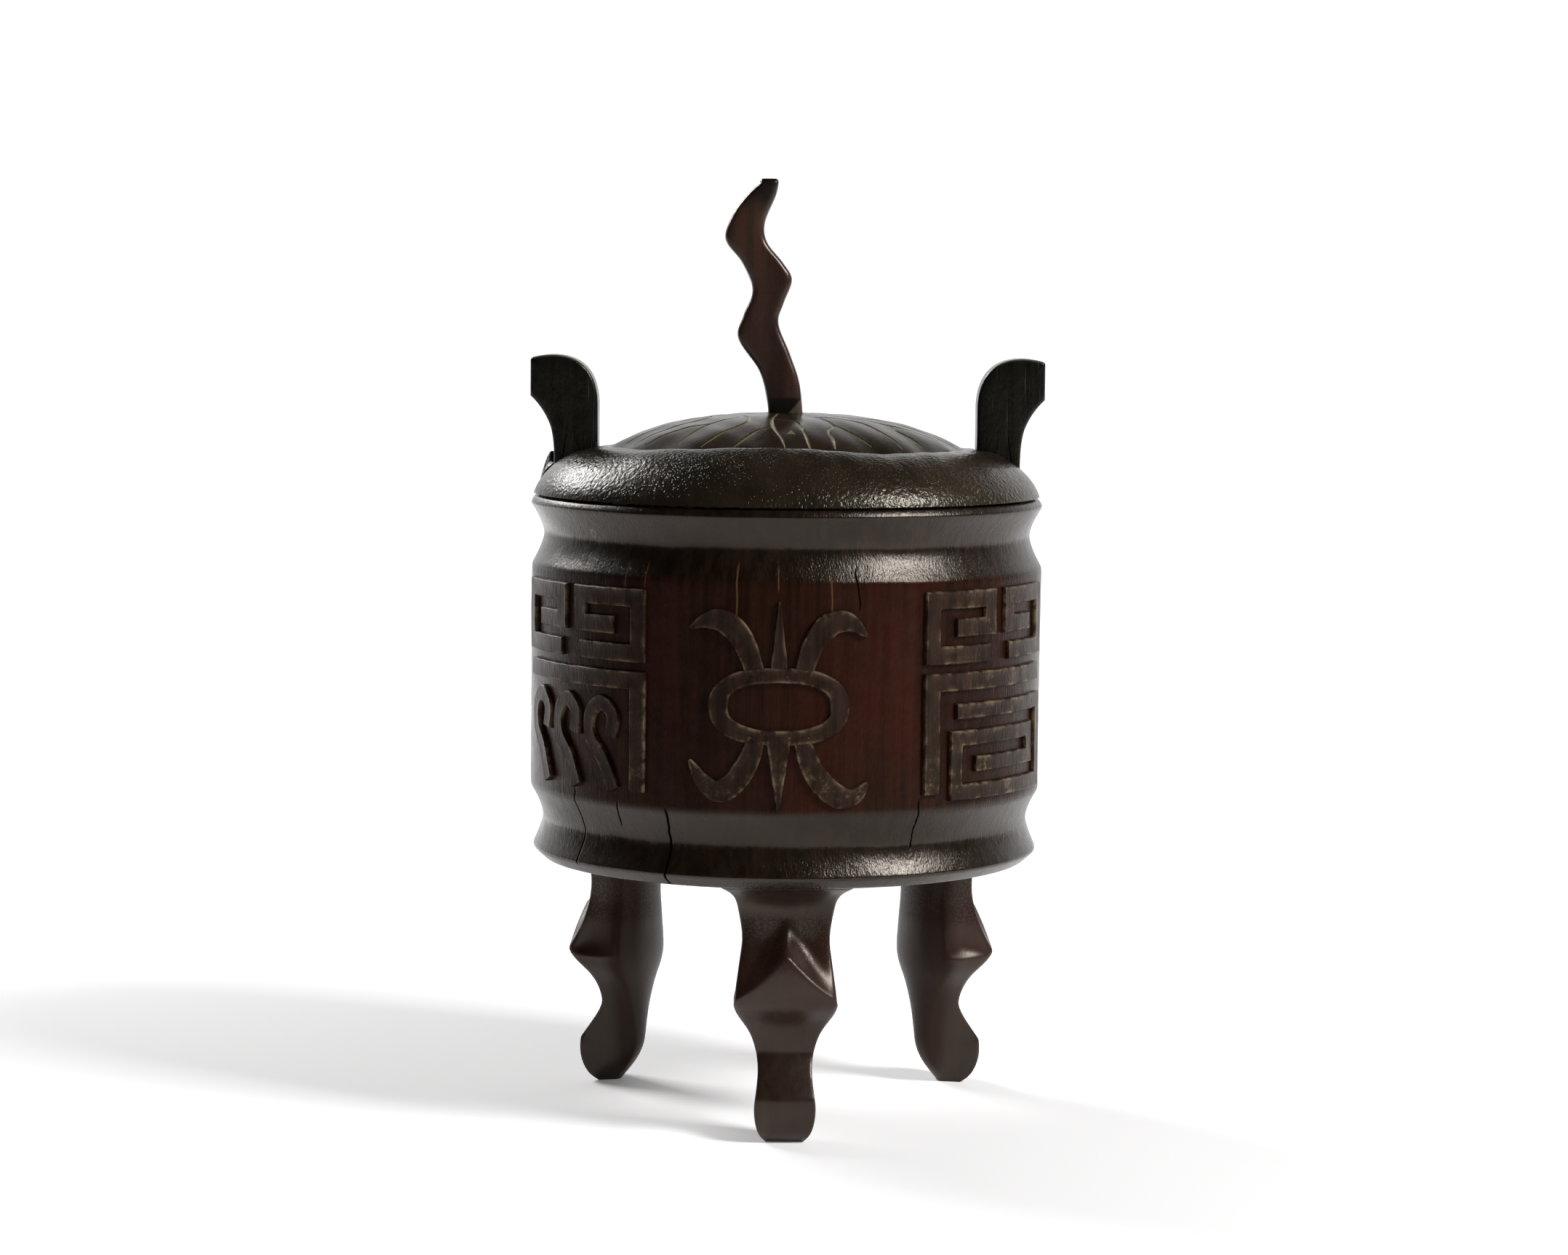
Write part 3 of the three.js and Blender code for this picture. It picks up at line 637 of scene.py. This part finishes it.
def leaf_lid():
    """The lid with a notch for each ear, the slot for the stem and the cut veins."""
    half = EAR_WIDTH / 2 + EAR_CLEARANCE
    inner = EAR_INNER_R - 0.5
    foot_z = DOME_Z - STEM_SOCKET
    left, right = stem_edges(foot_z)
    thick = STEM_THICKNESS / 2 + GAP
    cuts = [
        block((inner, -half, 125), (70, half, 170)),
        block((-70, -half, 125), (-inner, half, 170)),
        block((left - GAP, -thick, foot_z - GAP), (right + GAP, thick, 160)),
    ]
    parts = [make("notch", *shape) for shape in cuts] + [make("vein", *shape) for shape in veins()]
    lid = make("leaf_lid_dressed", *lid_rings())
    lid.data.attributes.new("vein", "FLOAT", "POINT")
    combine(lid, parts, "DIFFERENCE")
    return lid


# The stem's left and right edges from its foot to its tip, as (x, z)
STEM_LEFT = spline(
    [(-4.1, 147.2), (-4.4, 152), (-6.2, 158.8), (-10.8, 165.8), (-9.6, 171), (-7.8, 176.2), (-10.1, 182),
     (-13.7, 187), (-12.1, 192.4), (-9.2, 196.4), (-6.4, 199)],
    120,
)
STEM_RIGHT = spline(
    [(3.5, 147.2), (2.6, 156), (0.4, 162.6), (-2.1, 169), (-1, 173.4), (0.7, 178.4), (-1.2, 182),
     (-4.7, 186.4), (-5.2, 190.6), (-2.9, 196.4), (-2.3, 199.4)],
    120,
)


def stem_edges(z):
    return [np.interp(z, edge[:, 1], edge[:, 0]) for edge in (STEM_LEFT, STEM_RIGHT)]


def lid_finial():
    """The flat wavy stem: sections with eased corners between its two edges."""
    turn = np.linspace(0, 2 * math.pi, 72, endpoint=False)
    c, s = np.cos(turn), np.sin(turn)
    wide = np.sign(c) * np.abs(c) ** STEM_SQUARENESS
    deep = np.sign(s) * np.abs(s) ** STEM_SQUARENESS
    rings = []
    straight = np.linspace(DOME_Z - STEM_SOCKET, STEM_TOP_Z - 1, 98)
    for z in np.concatenate([straight, [199.3, 199.6, 199.82, 199.95, STEM_TOP_Z]]):
        left, right = stem_edges(z)
        ease = math.sqrt(max(1 - (max(z - (STEM_TOP_Z - 1), 0) / 1.02) ** 2, 0))
        centre, half = (left + right) / 2, (right - left) / 2
        half *= 0.7 + 0.3 * ease
        depth = STEM_THICKNESS / 2 * (0.6 + 0.4 * ease)
        rings.append(np.stack([centre + half * wide, depth * deep, z + 0 * turn], -1))
    return make("lid_finial_dressed", *skin(rings))


class Shader:
    """A material whose nodes are added by short calls."""

    def __init__(self, name):
        self.material = bpy.data.materials.new(name)
        self.material.use_nodes = True
        self.nodes = self.material.node_tree.nodes
        self.links = self.material.node_tree.links
        self.surface = self.nodes["Principled BSDF"]
        place = self.nodes.new("ShaderNodeTexCoord").outputs["Object"]
        self.place = self.vector("SCALE", place, scale=1 / MM)
        split = self.nodes.new("ShaderNodeSeparateXYZ")
        self.links.new(self.place, split.inputs[0])
        self.x, self.y, self.z = split.outputs

    def put(self, socket, value):
        if isinstance(value, bpy.types.NodeSocket):
            self.links.new(value, socket)
        else:
            socket.default_value = value

    def math(self, operation, a, b=0.0, clamp=False):
        node = self.nodes.new("ShaderNodeMath")
        node.operation = operation
        node.use_clamp = clamp
        self.put(node.inputs[0], a)
        self.put(node.inputs[1], b)
        return node.outputs[0]

    def plus(self, a, b):
        return self.math("ADD", a, b)

    def minus(self, a, b):
        return self.math("SUBTRACT", a, b)

    def times(self, *values):
        result = values[0]
        for value in values[1:]:
            result = self.math("MULTIPLY", result, value)
        return result

    def flip(self, value):
        """0 where the value is 1, and 1 where it is 0."""
        return self.minus(1, value)

    def radius(self):
        """Distance from the upright axis."""
        return self.math("SQRT", self.plus(self.math("POWER", self.x, 2), self.math("POWER", self.y, 2)))

    def vector(self, operation, a, b=(0, 0, 0), scale=1.0):
        node = self.nodes.new("ShaderNodeVectorMath")
        node.operation = operation
        self.put(node.inputs[0], a)
        self.put(node.inputs[1], b)
        if operation == "SCALE":
            node.inputs["Scale"].default_value = scale
        return node.outputs[0]

    def band(self, value, low, high):
        """0 below low, 1 above high."""
        node = self.nodes.new("ShaderNodeMapRange")
        node.interpolation_type = "SMOOTHSTEP"
        self.put(node.inputs["Value"], value)
        node.inputs["From Min"].default_value = low
        node.inputs["From Max"].default_value = high
        return node.outputs["Result"]

    def near(self, value, middle, reach, soft):
        """1 within reach of the middle, falling to 0 over soft."""
        away = self.math("ABSOLUTE", self.minus(value, middle))
        return self.flip(self.band(away, reach, reach + soft))

    def noise(self, scale, detail=2.0, rough=0.5, stretch=None, shift=(0, 0, 0)):
        where = self.vector("ADD", self.place, shift)
        if stretch:
            where = self.vector("MULTIPLY", where, stretch)
        node = self.nodes.new("ShaderNodeTexNoise")
        self.put(node.inputs["Vector"], where)
        node.inputs["Scale"].default_value = scale
        node.inputs["Detail"].default_value = detail
        node.inputs["Roughness"].default_value = rough
        return node.outputs["Fac"]

    def cells(self, scale, stretch=(1, 1, 1)):
        node = self.nodes.new("ShaderNodeTexVoronoi")
        self.put(node.inputs["Vector"], self.vector("MULTIPLY", self.place, stretch))
        node.inputs["Scale"].default_value = scale
        return node.outputs["Distance"]

    def mark(self, name):
        """A value stored on the mesh."""
        node = self.nodes.new("ShaderNodeAttribute")
        node.attribute_name = name
        return node.outputs["Fac"]

    def mix(self, factor, a, b):
        node = self.nodes.new("ShaderNodeMix")
        node.data_type = "RGBA"
        self.put(node.inputs[0], factor)
        for socket, value in ((node.inputs[6], a), (node.inputs[7], b)):
            self.put(socket, value if isinstance(value, bpy.types.NodeSocket) else (*value, 1))
        return node.outputs[2]

    def combine(self, a, b):
        node = self.nodes.new("ShaderNodeCombineXYZ")
        self.put(node.inputs[0], a)
        self.put(node.inputs[1], b)
        return node.outputs[0]

    def length(self, a):
        node = self.nodes.new("ShaderNodeVectorMath")
        node.operation = "LENGTH"
        self.put(node.inputs[0], a)
        return node.outputs["Value"]

    def bump(self, height, distance, normal=None, strength=1.0):
        node = self.nodes.new("ShaderNodeBump")
        self.put(node.inputs["Strength"], strength)
        node.inputs["Distance"].default_value = distance * MM
        self.put(node.inputs["Height"], height)
        if normal is not None:
            self.put(node.inputs["Normal"], normal)
        return node.outputs["Normal"]

    def finish(self, colour, roughness, normal, specular, tint):
        self.put(self.surface.inputs["Base Color"], colour)
        self.put(self.surface.inputs["Roughness"], roughness)
        self.put(self.surface.inputs["Normal"], normal)
        self.put(self.surface.inputs["Specular IOR Level"], specular)
        self.put(self.surface.inputs["Specular Tint"], (*tint, 1))
        return self.material


def fibre_bundles(m):
    """Bamboo's bundles: columns along +Z, seen as streaks on the sides and dots on cut ends."""
    return m.cells(2.1, (1, 1, 0.035))


# Lines down the cup: place along the wall from its front, lowest and highest level, width
HAIRLINES = (
    (-35.4, 112, 121, 0.16),
    (-30.4, 112, 121, 0.12),
    (-10, 109, 121.5, 0.2),
    (-1.5, 115, 121, 0.14),
    (9.4, 108, 119, 0.16),
)
CRACKS = (
    (14.8, 111, 120.5, 0.2),
    (-50.5, 55, 73, 0.3),
    (-37.4, 64.5, 71.5, 0.24),
    (-25, 52, 71, 0.36),
    (29, 61, 73, 0.26),
    (96, 92, 121, 0.3),
    (140, 60, 74, 0.3),
    (-120, 100, 121, 0.3),
)
CRACK_FADE = 1.5

# The small pale ring mark below the rim: place along the wall, level and radius
RING_MARK = (-47.5, 125.6)
RING_MARK_R = 0.75

# How the gloss of bare bamboo is coloured
WARM_TINT = (1, 0.88, 0.77)
LID_TINT = (1, 0.92, 0.78)


def fissures(m, along, lines):
    """1 on the lines, which fade out at their ends."""
    mask = None
    for middle, low, high, width in lines:
        across = m.near(along, middle, width * 0.4, width)
        upright = m.near(m.z, (low + high) / 2, (high - low) / 2 - CRACK_FADE, CRACK_FADE)
        line = m.times(across, upright)
        mask = line if mask is None else m.math("MAXIMUM", mask, line)
    return mask


class BodyShader(Shader):
    """The body's shader, with masks that are 1 on one part of it and 0 on the rest."""

    def __init__(self, name):
        super().__init__(name)
        self.relief, self.edge = self.mark("relief"), self.mark("edge")
        self.around = self.times(self.math("ARCTAN2", self.x, self.times(self.y, -1)), WALL_R)
        self.broad = self.noise(0.045, 3, 0.55, (1, 1, 0.45))
        self.streaks = self.noise(0.5, 3, 0.6, (1, 1, 0.05), (7, 3, 0))
        radius = self.radius()
        self.outer = self.band(radius, 49, 51)
        self.on_wall = self.times(self.band(self.z, 69, 71), self.flip(self.band(self.z, 116.5, 118.5)))
        self.below = self.flip(self.band(self.z, 52, 55))
        self.above = self.band(self.z, 131.5, 133)
        cavity = self.flip(self.band(radius, 41, 43))
        self.inside = self.times(cavity, self.band(self.z, 56, 58), self.flip(self.band(self.z, 130, 133)))
        self.inner_face = self.times(self.below, self.flip(self.band(radius, 38, 42)))


def cup_colour(m):
    """Black-brown mouldings, and a wall that is redder in its middle."""
    moulding = m.mix(m.band(m.streaks, 0.35, 0.7), (0.006, 0.0035, 0.0018), (0.014, 0.0075, 0.0045))
    field = m.mix(m.band(m.streaks, 0.3, 0.7), (0.010, 0.0035, 0.0020), (0.021, 0.0074, 0.0042))
    middle_field = m.flip(m.band(m.math("ABSOLUTE", m.around), 24, 38))
    redder = m.times(m.band(m.broad, 0.40, 0.70), middle_field, 0.5)
    return m.mix(m.on_wall, moulding, m.mix(redder, field, (0.034, 0.0062, 0.003)))


def leg_colour(m):
    """Brown legs, redder at the knee."""
    legs = m.mix(m.band(m.streaks, 0.3, 0.7), (0.013, 0.007, 0.0045), (0.021, 0.0105, 0.0068))
    redder = m.times(m.near(m.z, 35, 6, 5), m.band(m.broad, 0.3, 0.6), 0.6)
    legs = m.mix(redder, legs, (0.026, 0.0085, 0.0058))
    return m.mix(m.inner_face, legs, (0.020, 0.0105, 0.0065))


def ear_colour(m):
    """Near-black ears with fine upright scratches, and a painted sheen on their upward-facing tops."""
    ears = m.mix(m.band(m.streaks, 0.35, 0.7), (0.003, 0.0028, 0.002), (0.008, 0.007, 0.005))
    fine_lines = m.band(m.noise(3.2, 2, 0.5, (1, 1, 0.02), (1, 8, 3)), 0.64, 0.70)
    scratches = m.times(m.above, fine_lines, m.band(m.noise(0.2, 2), 0.4, 0.6))
    ears = m.mix(m.times(scratches, 0.6), ears, (0.045, 0.042, 0.035))
    # Faces of the ears' tops that look upwards are painted paler: a painted reflection of the bright
    # backdrop.
    facing = m.nodes.new("ShaderNodeSeparateXYZ")
    m.put(facing.inputs[0], m.nodes.new("ShaderNodeNewGeometry").outputs["Normal"])
    painted_top_sheen = m.times(m.band(facing.outputs[2], 0.35, 0.8), m.band(m.z, 140, 143))
    return m.mix(painted_top_sheen, ears, (0.06, 0.056, 0.045))


def carving_colour(m, colour):
    """The raised strokes over the colour below: pale edges, partly wear and partly a painted highlight,
    and residue at the low ends.
    """
    raised = m.mix(m.band(m.streaks, 0.3, 0.7), (0.009, 0.0044, 0.0029), (0.024, 0.0118, 0.0077))
    colour = m.mix(m.relief, colour, raised)
    scuffs = m.noise(0.35, 4, 0.65, None, (11, 5, 2))
    patchy = m.band(m.noise(0.11, 2, 0.6, None, (4, 9, 2)), 0.30, 0.62)
    # Pale lines along the strokes' edges: partly worn edges and wax, partly a painted highlight where the
    # edges catch the light.
    rim_wear_and_highlight = m.times(m.edge, m.band(scuffs, 0.40, 0.62), patchy)
    colour = m.mix(m.times(rim_wear_and_highlight, 0.75), colour, (0.18, 0.125, 0.075))
    low_ends = m.math("ADD", m.flip(m.band(m.z, 72, 84)), m.band(m.around, 30, 60), clamp=True)
    grainy = m.band(m.noise(1.6, 3, 0.7), 0.4, 0.65)
    residue = m.times(m.relief, m.band(scuffs, 0.5, 0.68), low_ends, grainy)
    return m.mix(m.times(residue, 0.7), colour, (0.15, 0.115, 0.06))


def body_surface(m, dark):
    """The normal: fibres and pits, brush marks and a soft ripple, all calmer on the legs."""
    pits = m.flip(m.band(fibre_bundles(m), 0.12, 0.42))
    fibres = m.noise(2.6, 2, 0.6, (1, 1, 0.03))
    height = m.plus(m.times(pits, -0.5), m.times(fibres, 0.9))
    height = m.minus(height, m.times(dark, 3))
    plain = m.flip(m.times(m.below, 0.7))
    calm = m.flip(m.times(m.below, 0.85))
    normal = m.bump(height, 0.07, strength=m.times(calm, 0.5))
    brushed = m.noise(2.4, 3, 0.6, (1, 1, 0.22), (2, 9, 4))
    normal = m.bump(brushed, 0.10, normal, m.times(plain, 0.8))
    ripple = m.noise(0.42, 2, 0.5, (1, 1, 0.8), (2, 9, 4))
    return m.bump(ripple, 0.16, normal, m.times(plain, 0.6))


def body_gloss(m, dark):
    """Glossy mouldings and legs, a duller wall, and none in the cracks."""
    duller_wall = m.minus(0.30, m.times(m.relief, 0.06))
    shine = m.minus(0.37, m.times(m.on_wall, duller_wall))
    shine = m.plus(shine, m.times(m.below, 0.08))
    shine = m.plus(shine, m.times(m.near(m.z, 56.5, 3, 2), 0.12))
    shine = m.minus(shine, m.times(m.inner_face, 0.30))
    shine = m.minus(shine, m.times(m.above, 0.10))
    specks = m.times(m.near(m.z, 42, 4, 3), m.flip(m.band(m.noise(2.6, 2, 0.6), 0.50, 0.58)))
    shine = m.times(shine, m.flip(m.times(specks, 0.5)))
    return m.times(shine, m.flip(dark))


def body_material():
    """Dark stained bamboo: cup, legs, ears and carving, with its cracks and one small ring mark."""
    m = BodyShader("body_bamboo_dressed")
    colour = m.mix(m.below, cup_colour(m), leg_colour(m))
    colour = m.mix(m.above, colour, ear_colour(m))
    colour = m.mix(m.inside, colour, (0.11, 0.065, 0.035))
    colour = carving_colour(m, colour)

    drift = m.times(m.minus(m.noise(0.12, 2, 0.5, (0.2, 0.2, 1)), 0.5), 3)
    where = m.plus(m.around, drift)
    straighter = m.plus(m.around, m.times(drift, 0.3))
    dark = m.times(fissures(m, where, CRACKS), m.outer)
    pale = m.times(fissures(m, straighter, HAIRLINES), m.outer, m.flip(m.relief))
    colour = m.mix(m.times(pale, 0.6), colour, (0.12, 0.06, 0.03))
    colour = m.mix(dark, colour, (0.002, 0.0015, 0.001))
    from_mark = m.length(m.vector("SUBTRACT", m.combine(where, m.z), (*RING_MARK, 0)))
    ring_mark = m.times(m.near(from_mark, RING_MARK_R, 0.08, 0.2), m.band(m.times(m.y, -1), 0, 1))
    colour = m.mix(ring_mark, colour, (0.10, 0.085, 0.07))

    rough = m.plus(0.20, m.times(m.noise(0.3, 3, 0.6), 0.12))
    rough = m.plus(rough, m.times(m.plus(m.relief, m.below), 0.08))
    return m.finish(colour, rough, body_surface(m, dark), body_gloss(m, dark), WARM_TINT)


def lid_material():
    """The leathery leaf with pale veins, a pale patch on the front of its valley, and painted shade on its
    curled edge behind the left ear.
    """
    m = Shader("lid_bamboo_dressed")
    veins_mark = m.mark("vein")
    bundles = fibre_bundles(m)
    broad = m.noise(0.06, 3, 0.55)
    radius = m.radius()
    base = m.mix(m.band(broad, 0.35, 0.65), (0.010, 0.007, 0.0045), (0.021, 0.0145, 0.0088))
    dome = m.flip(m.band(radius, 36, 40))
    folds = m.noise(0.2, 2, 0.5, None, (5, 5, 5))
    base = m.mix(m.times(dome, m.band(folds, 0.45, 0.65), 0.5), base, (0.026, 0.011, 0.007))
    here = m.band(m.noise(0.25, 2, 0.5), 0.48, 0.6)
    dots = m.times(m.near(bundles, 0.3, 0.03, 0.05), here, m.band(m.z, 136, 140))
    base = m.mix(m.times(dots, 0.35), base, (0.06, 0.052, 0.034))
    colour = m.mix(m.times(veins_mark, 0.85), base, (0.23, 0.195, 0.095))
    wide = m.times(m.plus(m.y, 26.2), -0.42)
    away = m.math("ABSOLUTE", m.minus(m.x, 0.8))
    patch = m.times(m.band(m.y, -28.8, -28.5), m.band(m.minus(wide, away), 0, 0.15))
    colour = m.mix(m.times(patch, m.band(m.z, 143, 145)), colour, (0.11, 0.095, 0.06))
    underside = m.flip(m.band(m.z, 132.35, 132.6))
    colour = m.mix(underside, colour, (0.03, 0.018, 0.010))
    leather = m.noise(1.3, 2, 0.5)
    wrinkle = m.cells(1)
    height = m.plus(leather, m.times(wrinkle, 0.45))
    pits = m.flip(m.band(bundles, 0.1, 0.35))
    height = m.plus(height, m.times(pits, -0.3))
    strength = m.plus(0.15, m.times(m.band(radius, 38, 42), 0.6))
    normal = m.bump(height, 0.2, strength=strength)
    rough = m.plus(0.18, m.times(m.noise(0.5, 3, 0.6), 0.12))
    shine = m.plus(0.12, m.times(m.band(radius, 37, 43), 0.19))
    worn_side = m.flip(m.times(m.band(m.times(m.x, -1), 15, 40), 0.5))
    shine = m.times(shine, worn_side)
    # The curled edge behind the left ear is painted near-black and most of its gloss is taken away:
    # painted shade, as the ear hides it from the light.
    curl = m.times(m.near(m.y, 10.5, 3.2, 1.5), m.flip(m.band(m.x, -51.5, -50)))
    colour = m.mix(curl, colour, (0.003, 0.0025, 0.002))
    shine = m.times(shine, m.flip(m.times(curl, 0.9)))
    return m.finish(colour, rough, normal, shine, LID_TINT)


def stem_material():
    """The redder stem, with a dark band of painted shade where it leaves the lid, and the pale wedge at
    its foot.
    """
    m = Shader("stem_bamboo_dressed")
    streaks = m.noise(0.6, 2, 0.5, (1, 1, 0.05))
    colour = m.mix(m.band(streaks, 0.3, 0.7), (0.025, 0.013, 0.0095), (0.040, 0.0175, 0.012))
    drift = m.times(m.minus(m.noise(0.08, 1), 0.5), 6)
    core = m.near(m.plus(m.x, drift), -2.5, 0.6, 2.5)
    colour = m.mix(m.times(core, 0.55), colour, (0.010, 0.004, 0.003))
    colour = m.mix(m.band(m.z, 192, 198), colour, (0.007, 0.005, 0.004))
    # A dark band round the stem just above the lid: painted shade at the joint.
    colour = m.mix(m.near(m.z, 151.2, 1.6, 0.6), colour, (0.004, 0.003, 0.0025))
    slope = m.minus(m.z, m.times(m.x, 1.2))
    wedge = m.times(m.flip(m.band(slope, 149.2, 149.8)), m.band(m.x, -1.5, -0.8))
    colour = m.mix(wedge, colour, (0.06, 0.05, 0.035))
    height = m.plus(m.noise(2.4, 2, 0.6, (1, 1, 0.04)), m.times(m.noise(0.5, 2, 0.5), 1.2))
    normal = m.bump(height, 0.08, strength=0.35)
    rough = m.plus(0.22, m.times(m.noise(0.4, 3, 0.6), 0.12))
    return m.finish(colour, rough, normal, 0.35, WARM_TINT)


# Edges that bend more than this stay sharp
SHARP_ANGLE = math.radians(38)

for build, material, node, slot in (
    (carved_body, body_material, "carved_body", "body_bamboo"),
    (leaf_lid, lid_material, "leaf_lid", "lid_bamboo"),
    (lid_finial, stem_material, "lid_finial", "stem_bamboo"),
):
    piece = build()
    piece.data.materials.clear()
    piece.data.materials.append(material())
    piece.data.polygons.foreach_set("use_smooth", [True] * len(piece.data.polygons))
    piece.data.set_sharp_from_angle(angle=SHARP_ANGLE)
    piece.data.update()
    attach(piece, "root")
    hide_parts(node)
    triangles = sum(len(polygon.vertices) - 2 for polygon in piece.data.polygons)
    print(piece.name, len(piece.data.vertices), "vertices", triangles, "triangles")


def floor():
    """A pale floor that stays white into the distance behind the object."""
    turn = np.linspace(0, 2 * math.pi, FLOOR_CORNERS, endpoint=False)
    points = [(FLOOR_REACH * math.cos(a), FLOOR_REACH * math.sin(a), 0) for a in turn]
    mesh = bpy.data.meshes.new("floor")
    mesh.from_pydata(points, [], [tuple(range(FLOOR_CORNERS))])
    made = bpy.data.objects.new("floor", mesh)
    bpy.context.scene.collection.objects.link(made)
    m = Shader("floor")
    distance = m.radius()
    behind = m.band(m.math("DIVIDE", m.y, distance), 0.0, 0.6)
    glow = m.math("MAXIMUM", m.times(behind, m.band(distance, 250, 900)), FLOOR_GLOW)
    m.put(m.surface.inputs["Emission Strength"], glow)
    m.put(m.surface.inputs["Emission Color"], (1, 1, 1, 1))
    table = m.band(m.y, -1000, -620)
    m.put(m.surface.inputs["Base Color"], m.mix(table, (0.22, 0.22, 0.22), (0.93, 0.92, 0.92)))
    m.put(m.surface.inputs["Roughness"], 0.75)
    m.put(m.surface.inputs["Specular IOR Level"], 0.1)
    mesh.materials.append(m.material)


def lamp(name, place, size, watts):
    """A rectangular lamp, with its place and size in metres."""
    data = bpy.data.lights.new(name, "AREA")
    data.shape = "RECTANGLE"
    data.size, data.size_y = size
    data.energy = watts
    made = bpy.data.objects.new(name, data)
    made.location = Vector(place)
    made.rotation_euler = (Vector(LAMP_AIM) - Vector(place)).to_track_quat("-Z", "Y").to_euler()
    bpy.context.scene.collection.objects.link(made)


def light():
    """A dark studio with a bright wall behind, fading upwards, and two lamps."""
    scene = bpy.context.scene
    world = bpy.data.worlds.new("studio")
    scene.world = world
    world.use_nodes = True
    nodes, links = world.node_tree.nodes, world.node_tree.links
    place = nodes.new("ShaderNodeTexCoord")
    split = nodes.new("ShaderNodeSeparateXYZ")
    links.new(place.outputs["Generated"], split.inputs[0])
    spread = nodes.new("ShaderNodeMapRange")
    spread.interpolation_type = "SMOOTHSTEP"
    links.new(split.outputs["Y"], spread.inputs["Value"])
    for key, value in (("From Min", 0.30), ("From Max", 0.85), ("To Min", 0.03), ("To Max", 1.05)):
        spread.inputs[key].default_value = value
    fade = nodes.new("ShaderNodeMapRange")
    fade.interpolation_type = "SMOOTHSTEP"
    links.new(split.outputs["Z"], fade.inputs["Value"])
    for key, value in (("From Min", 0.35), ("From Max", 0.75), ("To Min", 1.0), ("To Max", 0.03)):
        fade.inputs[key].default_value = value
    both = nodes.new("ShaderNodeMath")
    both.operation = "MULTIPLY"
    links.new(spread.outputs["Result"], both.inputs[0])
    links.new(fade.outputs["Result"], both.inputs[1])
    links.new(both.outputs[0], nodes["Background"].inputs["Strength"])
    nodes["Background"].inputs["Color"].default_value = (1, 1, 1, 1)
    lamp("right", (0.72, -0.42, 0.70), (0.32, 0.32), 12.5)
    lamp("left", (-0.62, 0.60, 0.66), (0.42, 0.36), 9)
    scene.view_settings.view_transform = "Standard"


def camera():
    """The camera that was fitted to the photo."""
    data = bpy.data.cameras.new("camera")
    data.sensor_width = 36
    data.lens = CAMERA_LENS
    data.clip_start = 0.05
    made = bpy.data.objects.new("camera", data)
    made.location = CAMERA_PLACE
    tilt = Matrix.Rotation(math.radians(CAMERA_TILT), 3, "X")
    roll = Matrix.Rotation(math.radians(CAMERA_ROLL), 3, "Z")
    made.rotation_euler = (tilt @ roll).to_euler()
    bpy.context.scene.collection.objects.link(made)
    bpy.context.scene.camera = made


floor()
light()
camera()
